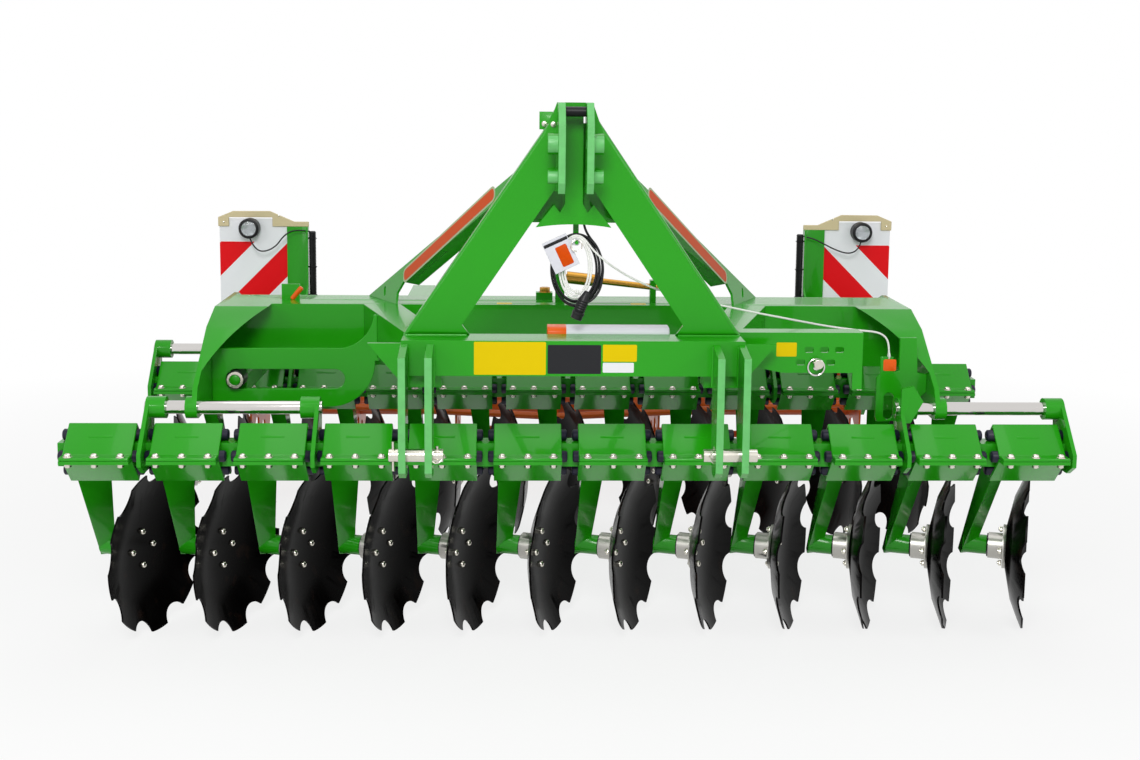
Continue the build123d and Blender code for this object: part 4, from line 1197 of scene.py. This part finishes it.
@dataclass
class HitchFittings:
    """Linch pins, the bracket's ringed pin, bolts, grip, tag and the bushing's face. Sizes in mm."""

    shop: Workshop
    link_back: float = -320.0
    link_sides: tuple[Pair, ...] = ((-497, -378), (479, 392))
    side_pin: Pair = (646, 729)
    linch_pin: Pair = (668, 716)
    ring_ahead: float = 18.0
    ring_height: float = 690.0
    stop_pin_place: Pair = (707, 905)
    head_bolts: tuple[Pair, ...] = ((-84, 1597), (-60, 1597))
    beam_bolt: Pair = (-65, 580)
    tag_place: Pair = (989, 864)

    def build(self) -> None:
        """Make the pins, the bolts and the small coloured parts."""
        self.linch_pins()
        self.stop_pin()
        self.loose_bolts()
        self.grip_and_tag()
        self.bushing_face()

    def linch_pins(self) -> None:
        """A side pin and a sprung linch pin with its ring through each lower link pin."""
        at, back = self.shop.datum.at, self.link_back
        mesh = bmesh.new()
        for outer, inner in self.link_sides:
            for x, (low, high) in ((outer, self.side_pin), (inner, self.linch_pin)):
                rod(mesh, at(x, back, low), at(x, back, high), 5)
            hung = at(inner, back - self.ring_ahead, self.ring_height)
            ring(mesh, 17, 2, placed(hung, Vector((0.35, -1, 0.15))))
        self.shop.finish(mesh, "linch_pins", ZINC)

    def stop_pin(self) -> None:
        """The bracket's pin with its chromed ring."""
        point, normal = self.shop.seat("stop_bracket", *self.stop_pin_place)
        mesh = bmesh.new()
        ring(mesh, 24, 2.6, placed(point, normal) @ shifted(0, 0, 6))
        rod(mesh, point - normal * 4 * MM, point + normal * 14 * MM, 9, 2.5)
        self.shop.finish(mesh, "stop_pin_ring", BRIGHT)

    def loose_bolts(self) -> None:
        """Two bolts on the mast's head and one on the main beam's top."""
        mesh = bmesh.new()
        for x, z in self.head_bolts:
            point, normal = self.shop.seat("mast", x, z)
            Bolt(across=13, head=6, washer=8).add(mesh, point, normal)
        self.shop.finish(mesh, "head_box_bolts", ZINC)
        brass = bmesh.new()
        above = self.shop.datum.at(*self.beam_bolt, ABOVE_BEAM)
        point, normal = self.shop.probe("main_beam", above, Facing.DOWNWARD)
        Bolt(across=30, head=14, washer=20).add(brass, point, normal)
        self.shop.finish(brass, "beam_bolt", BRASS)

    def grip_and_tag(self) -> None:
        """The orange grip on the left bracket and the orange tag on the latch plate's lug."""
        at = self.shop.datum.at
        grip = bmesh.new()
        rod(grip, at(-901, 550, 1000), at(-868, 550, 1040), 9, 3)
        self.shop.finish(grip, "orange_grip", ORANGE)
        point, normal = self.shop.seat("latch_plate", *self.tag_place)
        seat = laid(point, normal, Facing.UPWARD.vector)
        self.shop.slab_piece("orange_tag", ORANGE, rounded(40, 36, 5), 1.2, seat, 0.3)

    def bushing_face(self) -> None:
        """The bushing's bright face ring and green cap."""
        low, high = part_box("offset_bushing")
        face = Vector(((low.x + high.x) / 2, low.y, (low.z + high.z) / 2))
        seat = placed(face, Facing.FORWARD.vector)
        rim = [(17, -1), (26, -1), (26, 1.2), (25, 2), (18, 2), (17, 1.2), (17, -1)]
        self.shop.turned_piece("bushing_face_ring", ZINC, rim, seat, 32, "rear_row")
        cap = [(0, -1), (16, -1), (16, 2), (13, 4), (0, 4.5)]
        self.shop.turned_piece("bushing_cap", GREEN, cap, seat, 24, "rear_row")


@dataclass
class CableAndRope:
    """The coiled cable with its plug and the pull rope with its hank, both on the mast's peg.

    Sizes in mm; the two cords' lengths in metres.
    """

    shop: Workshop
    turn_points: int = 16
    cable: float = 7.0
    rope: float = 6.0
    cable_length: float = 2.36
    rope_length: float = 2.15
    cable_exit: tuple[Spot, ...] = ((30, -122, 1330), (30, -122, 1316), (34, -121, 1300))
    cable_tail: tuple[Spot, ...] = (
        *((78, -131, 1130), (67, -135, 1111), (53, -138, 1098)),
        *((39, -140, 1091), (25, -141, 1090)),
    )
    coil_centre: Pair = (8.0, 1186.0)
    coil_start: float = 60.0
    coil_wide: float = 75.2
    coil_high: float = 105.2
    coil_pitch: float = 7.3
    coil_fan: float = 5.0
    coil_back: float = -115.5
    coil_front: float = -128.2
    coil_turns: float = 4.22
    back_turns: float = 2.0
    crossing: float = 0.25
    hank_centre: Pair = (8.0, 1192.0)
    hank_start: float = 60.7
    hank_turns: float = 2.6
    hank_wide: float = 51.0
    hank_high: float = 94.0
    hank_pitch: float = 7.2
    hank_rise: float = 1.9
    hank_back: float = -139.6
    rope_route: tuple[Spot, ...] = (
        *((986, 128, 890), (986, 128, 922), (975, 127, 952), (945, 120, 968), (893, 101, 975)),
        *((828, 74, 986), (758, 43, 1000), (685, 12, 1017), (612, -15, 1034), (540, -40, 1050)),
        *((465, -59, 1068), (388, -72, 1085), (308, -80, 1104), (236, -87, 1127)),
        *((172, -95, 1156), (122, -115, 1187), (88, -141, 1214), (56, -141, 1242)),
    )
    pouch_lean: float = -25.0

    def build(self) -> None:
        """Lay the cable with its plug and the rope, and hang the ring and the pouch's trim."""
        self.cable_coil(self.plug())
        self.rope_line()
        self.peg_ring()
        self.pouch_trim()

    def cable_coil(self, plug: bpy.types.Object) -> None:
        """Wind the cable inwards behind, then outwards in front, and end it in the plug.

        Args:
            plug: The plug's piece; not used.
        """
        at = self.shop.datum.at
        points = [at(*spot) for spot in self.cable_exit]
        cx, cz = self.coil_centre
        steps = round(self.coil_turns * self.turn_points)
        for step in range(steps + 1):
            turn = self.coil_turns * step / steps
            behind = max(0.0, self.back_turns - turn)
            before = max(0.0, turn - self.back_turns - self.crossing)
            inward = min(turn, self.back_turns) - before
            depth = min(1.0, max(0.0, (turn - self.back_turns) / self.crossing))
            angle = math.radians(self.coil_start) - math.tau * turn
            back = self.coil_back + (self.coil_front - self.coil_back) * depth
            wide = self.coil_wide - self.coil_pitch * inward
            high = self.coil_high - self.coil_pitch * inward
            high += self.coil_fan * (behind + before) * max(0.0, -math.sin(angle)) ** 2
            wide += 0.5 * self.coil_fan * (behind + before) * max(0.0, math.cos(angle)) ** 2
            points.append(at(cx + wide * math.cos(angle), back, cz + high * math.sin(angle)))
        points += [at(*spot) for spot in self.cable_tail]
        piece = self.shop.line("coiled_cable", points, self.cable / 2, SHEATH)
        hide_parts("cable_coil")
        tuple(points[0])

    def plug(self) -> bpy.types.Object:
        """Make the trailer plug: ribbed grip, collar and nose, with the neck that joins the cable.

        Returns:
            The plug's piece.
        """
        at = self.shop.datum.at
        profile = [(0, 0), (14, 0), (16.5, 1.5), (16.5, 14), (17.8, 15), (17.8, 22), (15, 24)]
        for rib in range(5):
            profile += [(15, 26 + 7 * rib), (16.6, 28 + 7 * rib), (16.6, 30 + 7 * rib), (15, 32 + 7 * rib)]
        profile += [(14.5, 63), (11, 72), (8, 84), (6, 86), (0, 86)]
        mesh = bmesh.new()
        turned(mesh, profile, placed(at(8, -165, 1048), Vector((32, 0, 80)).normalized()))
        rod(mesh, at(25, -132, 1090), at(25, -158, 1090), 4.8, 1)
        piece = self.shop.finish(mesh, "cable_plug_body", BLACK_PLASTIC, smooth_degrees=40)
        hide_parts("cable_plug")
        return piece

    def rope_line(self) -> None:
        """Lay the rope from its loop at the lug to the hank on the peg, and end it in a knot."""
        at = self.shop.datum.at
        points = [at(*spot) for spot in self.rope_route]
        cx, cz = self.hank_centre
        steps = round(self.hank_turns * self.turn_points)
        for step in range(steps + 1):
            turn = self.hank_turns * step / steps
            angle = math.radians(self.hank_start) + math.tau * turn
            wide = self.hank_wide - self.hank_pitch * turn
            high = self.hank_high - self.hank_pitch * turn
            rise = cz + self.hank_rise * turn + high * math.sin(angle)
            points.append(at(cx + wide * math.cos(angle), self.hank_back, rise))
        knot = [(0, -7), (4, -6), (6.5, -3), (5.2, -1), (6.8, 1), (6.2, 4), (3.6, 7), (2.8, 13), (0, 14)]
        seat = placed(points[-1], Vector((0.9, 0, -0.4)))
        knot_piece = self.shop.turned_piece("rope_end_knot", ROPE, knot, seat, 16, smooth_degrees=60)
        piece = self.shop.line("pull_rope_line", points, self.rope / 2, ROPE)
        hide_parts("pull_rope", "rope_hank")
        tuple(points[0])
        loop = bmesh.new()
        ring(loop, 8, 2.9, placed(at(986, 128, 893), Vector((1, 0, 0))))
        self.shop.finish(loop, "rope_lug_loop", ROPE)

    def peg_ring(self) -> None:
        """The steel snap ring that hangs on the peg in front of the pouch's strap."""
        mesh = bmesh.new()
        ring(mesh, 16, 1.8, placed(self.shop.datum.at(8, -167, 1257.5), Vector((0.15, -1, 0))))
        self.shop.finish(mesh, "peg_ring", ZINC)

    def pouch_trim(self) -> None:
        """A plain orange patch and a dark hem on the pouch's front."""
        point, normal = self.shop.seat("document_pouch", -36, 1233)
        lean = math.radians(self.pouch_lean)
        seat = laid(point, normal, Vector((math.sin(lean), 0, math.cos(lean))))
        patch, hem = rounded(34, 60, 4), rounded(72, 9, 2)
        self.shop.slab_piece("pouch_patch", ORANGE_FILM, patch, 0.5, seat @ shifted(8, -8, 0), 0.1)
        self.shop.slab_piece("pouch_hem", BLACK_PLASTIC, hem, 1.0, seat @ shifted(0, 36, 0), 0.3)


@dataclass
class RearLights:
    """Lenses, conduits, leads and rivets of the two lamps and boards. Sizes in mm, X from the middle."""

    shop: Workshop
    lamp_x: float = 1290.0
    lamp_z: float = 1111.0
    lens: float = 31.0
    bezel: float = 41.0
    conduit_x: float = 1029.0
    conduit_y: float = 985.0
    conduit_foot: float = 775.0
    conduit_length: float = 325.0
    conduit: float = 15.0
    conduit_ribs: int = 52
    conduit_pitch: float = 6.2
    tie_heights: tuple[float, ...] = (830, 950, 1070)
    lead_y: float = 951.0
    lead_wave: float = 20.0
    lead_start_y: float = 975.0
    left_lead: tuple[Pair, ...] = (
        *((-1288, 1070), (-1276, 1039), (-1238, 1012), (-1183, 1031)),
        *((-1141, 1088), (-1095, 1109), (-1040, 1099)),
    )
    right_lead: tuple[Pair, ...] = (
        *((1288, 1070), (1278, 1037), (1232, 1020), (1176, 1037)),
        *((1128, 1062), (1076, 1087), (1038, 1092)),
    )
    rivets: tuple[tuple[str, float, float], ...] = (
        ("warning_boards", 1150, 1120),
        ("warning_boards", 1150, 760),
        ("warning_boards", 1408, 1120),
        ("warning_boards", 1408, 760),
        ("board_caps", 1170, 1163),
        ("board_caps", 1401, 1135),
    )

    def build(self) -> None:
        """Make both sides."""
        rivets = bmesh.new()
        for side, word, lead in ((-1, "left", self.left_lead), (1, "right", self.right_lead)):
            self.lens_of(side, word)
            self.conduit_of(side, word)
            self.lead_of(word, lead)
            self.rivets_of(side, rivets)
        self.shop.finish(rivets, "board_rivets", ZINC)

    def lead_of(self, word: str, lead: tuple[Pair, ...]) -> None:
        """Lay the black lead that hangs from a lamp to its conduit.

        Args:
            word: The word that starts its name.
            lead: X and Z of its points; it swings a little to and fro between them.
        """
        depths = [self.lead_y + self.lead_wave * (k % 2) for k in range(len(lead))]
        depths[0], depths[-1] = self.lead_start_y, self.conduit_y
        points = [Vector((x * MM, y * MM, z * MM)) for (x, z), y in zip(lead, depths)]
        self.shop.line(word + "_lamp_lead", points, 3.0, BLACK_PLASTIC)

    def lens_of(self, side: int, word: str) -> None:
        """Make the bezel, the reflector and the clear lens of one lamp.

        Args:
            side: -1 on the left, 1 on the right.
            word: The word that starts their names.
        """
        low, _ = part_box("round_lamps")
        place = Vector((side * self.lamp_x * MM, low.y, self.lamp_z * MM))
        seat = placed(place, Facing.FORWARD.vector)
        lens, edge = self.lens, self.bezel
        bezel = [(lens, -1), (edge, -1), (edge, 1.5), (38, 3), (33, 3), (lens, 1), (lens, -1)]
        bowl = [(0, 0.2), (9, 0.2), (12, 0.9), (lens - 1, 0.9), (lens - 1, 0.05), (0, 0.05)]
        glass = [(0, 7), (12, 6.4), (22, 4.6), (lens - 0.5, 1.4), (lens - 0.5, 1.1), (0, 1.1)]
        for part, finish, profile in (
            ("bezel", BLACK_PLASTIC, bezel),
            ("reflector", BRIGHT, bowl),
            ("lens", LampGlass(), glass),
        ):
            self.shop.turned_piece("%s_lamp_%s" % (word, part), finish, profile, seat, 36)

    def conduit_of(self, side: int, word: str) -> None:
        """Make the black ribbed conduit that stands beside a post, with its ties.

        Args:
            side: -1 on the left, 1 on the right.
            word: The word that starts their names.
        """
        x, y, radius = side * self.conduit_x, self.conduit_y, self.conduit
        up = Facing.UPWARD.vector
        profile = [(0, 0), (radius - 2, 0)]
        for rib in range(self.conduit_ribs):
            base = 1 + self.conduit_pitch * rib
            profile += [(radius - 1.6, base), (radius, base + 1.2)]
            profile += [(radius, base + 3.4), (radius - 1.6, base + 4.6)]
        profile += [(radius - 3, self.conduit_length), (0, self.conduit_length)]
        foot = Vector((x * MM, y * MM, self.conduit_foot * MM))
        self.shop.turned_piece(word + "_conduit", BLACK_PLASTIC, profile, placed(foot, up), 16)
        ties = bmesh.new()
        for z in self.tie_heights:
            ring(ties, radius + 1.2, 1.8, placed(Vector((x * MM, y * MM, z * MM)), up))
            clasp = Vector(((x + side * 4) * MM, y * MM, z * MM))
            slab(ties, rounded(10, 6, 1.5), 22, placed(clasp, Vector((side, 0.25, 0))), 0.5)
        self.shop.finish(ties, word + "_conduit_ties", SEAL)

    def rivets_of(self, side: int, mesh: Mesh) -> None:
        """Add the small pale rivets of a board and its cap.

        Args:
            side: -1 on the left, 1 on the right.
            mesh: The mesh that takes them.
        """
        for node, x, z in self.rivets:
            start = Vector((side * x * MM, 0.5, z * MM))
            point, normal = self.shop.probe(node, start, Facing.REARWARD)
            Bolt(across=9, head=3, domed=True).add(mesh, point, normal)


@dataclass
class CaseBand:
    """The orange end of the white document case. Sizes in mm."""

    shop: Workshop
    left: float = -71.5
    right: float = -17.0
    proud: float = 1.6

    def build(self) -> None:
        """Wrap a thin orange sleeve round the case's left end."""
        low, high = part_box("document_case")
        width = self.right - self.left
        middle = self.shop.datum.at((self.left + self.right) / 2, 0, 0)
        corner = Vector((middle.x - width / 2 * MM, (low.y + high.y) / 2, (low.z + high.z) / 2))
        seat = Matrix.Translation(corner) @ Matrix(((0, 0, 1), (1, 0, 0), (0, 1, 0))).to_4x4()
        outline = rounded((high.y - low.y) / MM + self.proud, (high.z - low.z) / MM + self.proud, 18.8)
        self.shop.slab_piece("case_orange_end", ORANGE, outline, width, seat, 1.0)


@dataclass(frozen=True)
class SoftBox:
    """A square area lamp: its name, place, the point it faces, its side in metres and its watts."""

    name: str
    place: Spot
    aim: Spot
    size: float
    power: float


@dataclass
class Studio:
    """Camera, lamps, floor and world. Lengths in metres, angles in degrees."""

    camera_place: Spot = (-0.181, -5.162, 1.682)
    yaw: float = 2.19
    pitch: float = 7.72
    roll: float = 0.58
    focal_px: float = 1463.0
    photo_width: float = 1140.0
    centre_drop_px: float = 88.0
    sensor_mm: float = 36.0
    floor_radius: float = 60.0
    surround: float = 0.36
    boxes: tuple[SoftBox, ...] = (
        SoftBox("front_soft_box", (-0.6, -5.9, 4.4), (0, -0.5, 0.8), 2.0, 200),
        SoftBox("left_soft_box", (-4.8, -4.5, 3.6), (0, -0.5, 0.7), 2.4, 50),
        SoftBox("right_soft_box", (4.8, -4.0, 3.6), (0, -0.5, 0.7), 2.4, 45),
        SoftBox("top_soft_box", (0, 0.5, 5.5), (0, 0, 0), 4.0, 60),
    )

    def camera(self) -> None:
        """The photograph's camera."""
        data = bpy.data.cameras.new("photo_camera")
        data.sensor_width = self.sensor_mm
        data.lens = self.sensor_mm * self.focal_px / self.photo_width
        data.shift_y = -self.centre_drop_px / self.photo_width
        data.clip_end = 200.0
        camera = bpy.data.objects.new("photo_camera", data)
        yaw, pitch, roll = (math.radians(v) for v in (self.yaw, self.pitch, self.roll))
        ahead = Vector((math.sin(yaw) * math.cos(pitch), math.cos(yaw) * math.cos(pitch), -math.sin(pitch)))
        level = ahead.cross(Facing.UPWARD.vector).normalized()
        above = level.cross(ahead)
        right = level * math.cos(roll) + above * math.sin(roll)
        turn = Matrix((right, right.cross(ahead), -ahead)).transposed()
        camera.matrix_world = Matrix.Translation(self.camera_place) @ turn.to_4x4()
        bpy.context.scene.collection.objects.link(camera)
        bpy.context.scene.camera = camera

    def lamp(self, box: SoftBox) -> None:
        """Add one lamp.

        Args:
            box: The lamp.
        """
        data = bpy.data.lights.new(box.name, "AREA")
        data.size = box.size
        data.energy = box.power
        lamp = bpy.data.objects.new(box.name, data)
        place = Vector(box.place)
        lamp.matrix_world = placed(place, place - Vector(box.aim))
        bpy.context.scene.collection.objects.link(lamp)

    def world(self) -> None:
        """An even surround, dim as a light but white where it is seen, mirrored or behind glass."""
        world = bpy.data.worlds.new("pale_surround")
        bpy.context.scene.world = world
        shader = Shader(world)
        dim = shader.add("Background", Color=WHITE, Strength=self.surround)
        white = shader.add("Background", Color=WHITE, Strength=1.0)
        seen = shader.rays("Camera", "Transmission", "Glossy")
        mix = shader.add("MixShader", _0=seen, _1=dim.outputs[0], _2=white.outputs[0])
        shader.add("OutputWorld", Surface=mix.outputs[0])

    def floor(self) -> None:
        """A pale floor that keeps the soft shadow and fades to white away from the machine."""
        mesh = bmesh.new()
        bmesh.ops.create_circle(mesh, cap_ends=True, segments=96, radius=self.floor_radius)
        data = bpy.data.meshes.new("studio_floor")
        mesh.to_mesh(data)
        mesh.free()
        shader = Shader(bpy.data.materials.new("white_studio_floor"))
        place = shader.add("TexCoord").outputs["Object"]
        away = shader.add("VectorMath", operation="LENGTH", _0=place)
        fade = shader.add("MapRange", Value=away.outputs["Value"], From_Min=2.0, From_Max=4.5, To_Min=0.8)
        rays = shader.rays("Camera", "Glossy", "Transmission")
        seen = shader.calc("MULTIPLY", fade.outputs["Result"], rays)
        matte = shader.add("BsdfDiffuse", Color=(0.9, 0.9, 0.9, 1))
        glow = shader.add("Emission", Color=WHITE, Strength=1.0)
        mix = shader.add("MixShader", _0=seen, _1=matte.outputs[0], _2=glow.outputs[0])
        shader.add("OutputMaterial", Surface=mix.outputs[0])
        data.materials.append(shader.owner)
        floor = bpy.data.objects.new("studio_floor", data)
        bpy.context.scene.collection.objects.link(floor)
        floor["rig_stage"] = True

    def build(self) -> None:
        """Make the whole stage."""
        for box in self.boxes:
            self.lamp(box)
        self.world()
        self.floor()
        bpy.context.scene.view_settings.view_transform = "Standard"


def save_bounds(when: str, sizes: dict) -> None:
    """Note the shown object's box."""
    low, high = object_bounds()
    sizes[when] = [list(low), list(high)]


def main() -> None:
    """Build the stage, dress the machine and report each piece."""
    logging.basicConfig(level=logging.INFO, format="%(name)s %(message)s")
    for left in list(bpy.data.objects):
        bpy.data.objects.remove(left)
    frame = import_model()
    sizes: dict = {}
    save_bounds("after_load", sizes)
    studio = Studio()
    studio.camera()
    shop = Workshop(frame, Datum.of_mast())
    CableAndRope(shop).build()
    Chassis(shop).build()
    for row in Row:
        DiscRow(shop, row).build()
    for part in (Labels, Welds, HitchFittings, RearLights, CaseBand):
        part(shop).build()
    studio.build()
    save_bounds("before_finish", sizes)
    log.info("%d pieces made", len(shop.made))


if __name__ == "__main__":
    main()
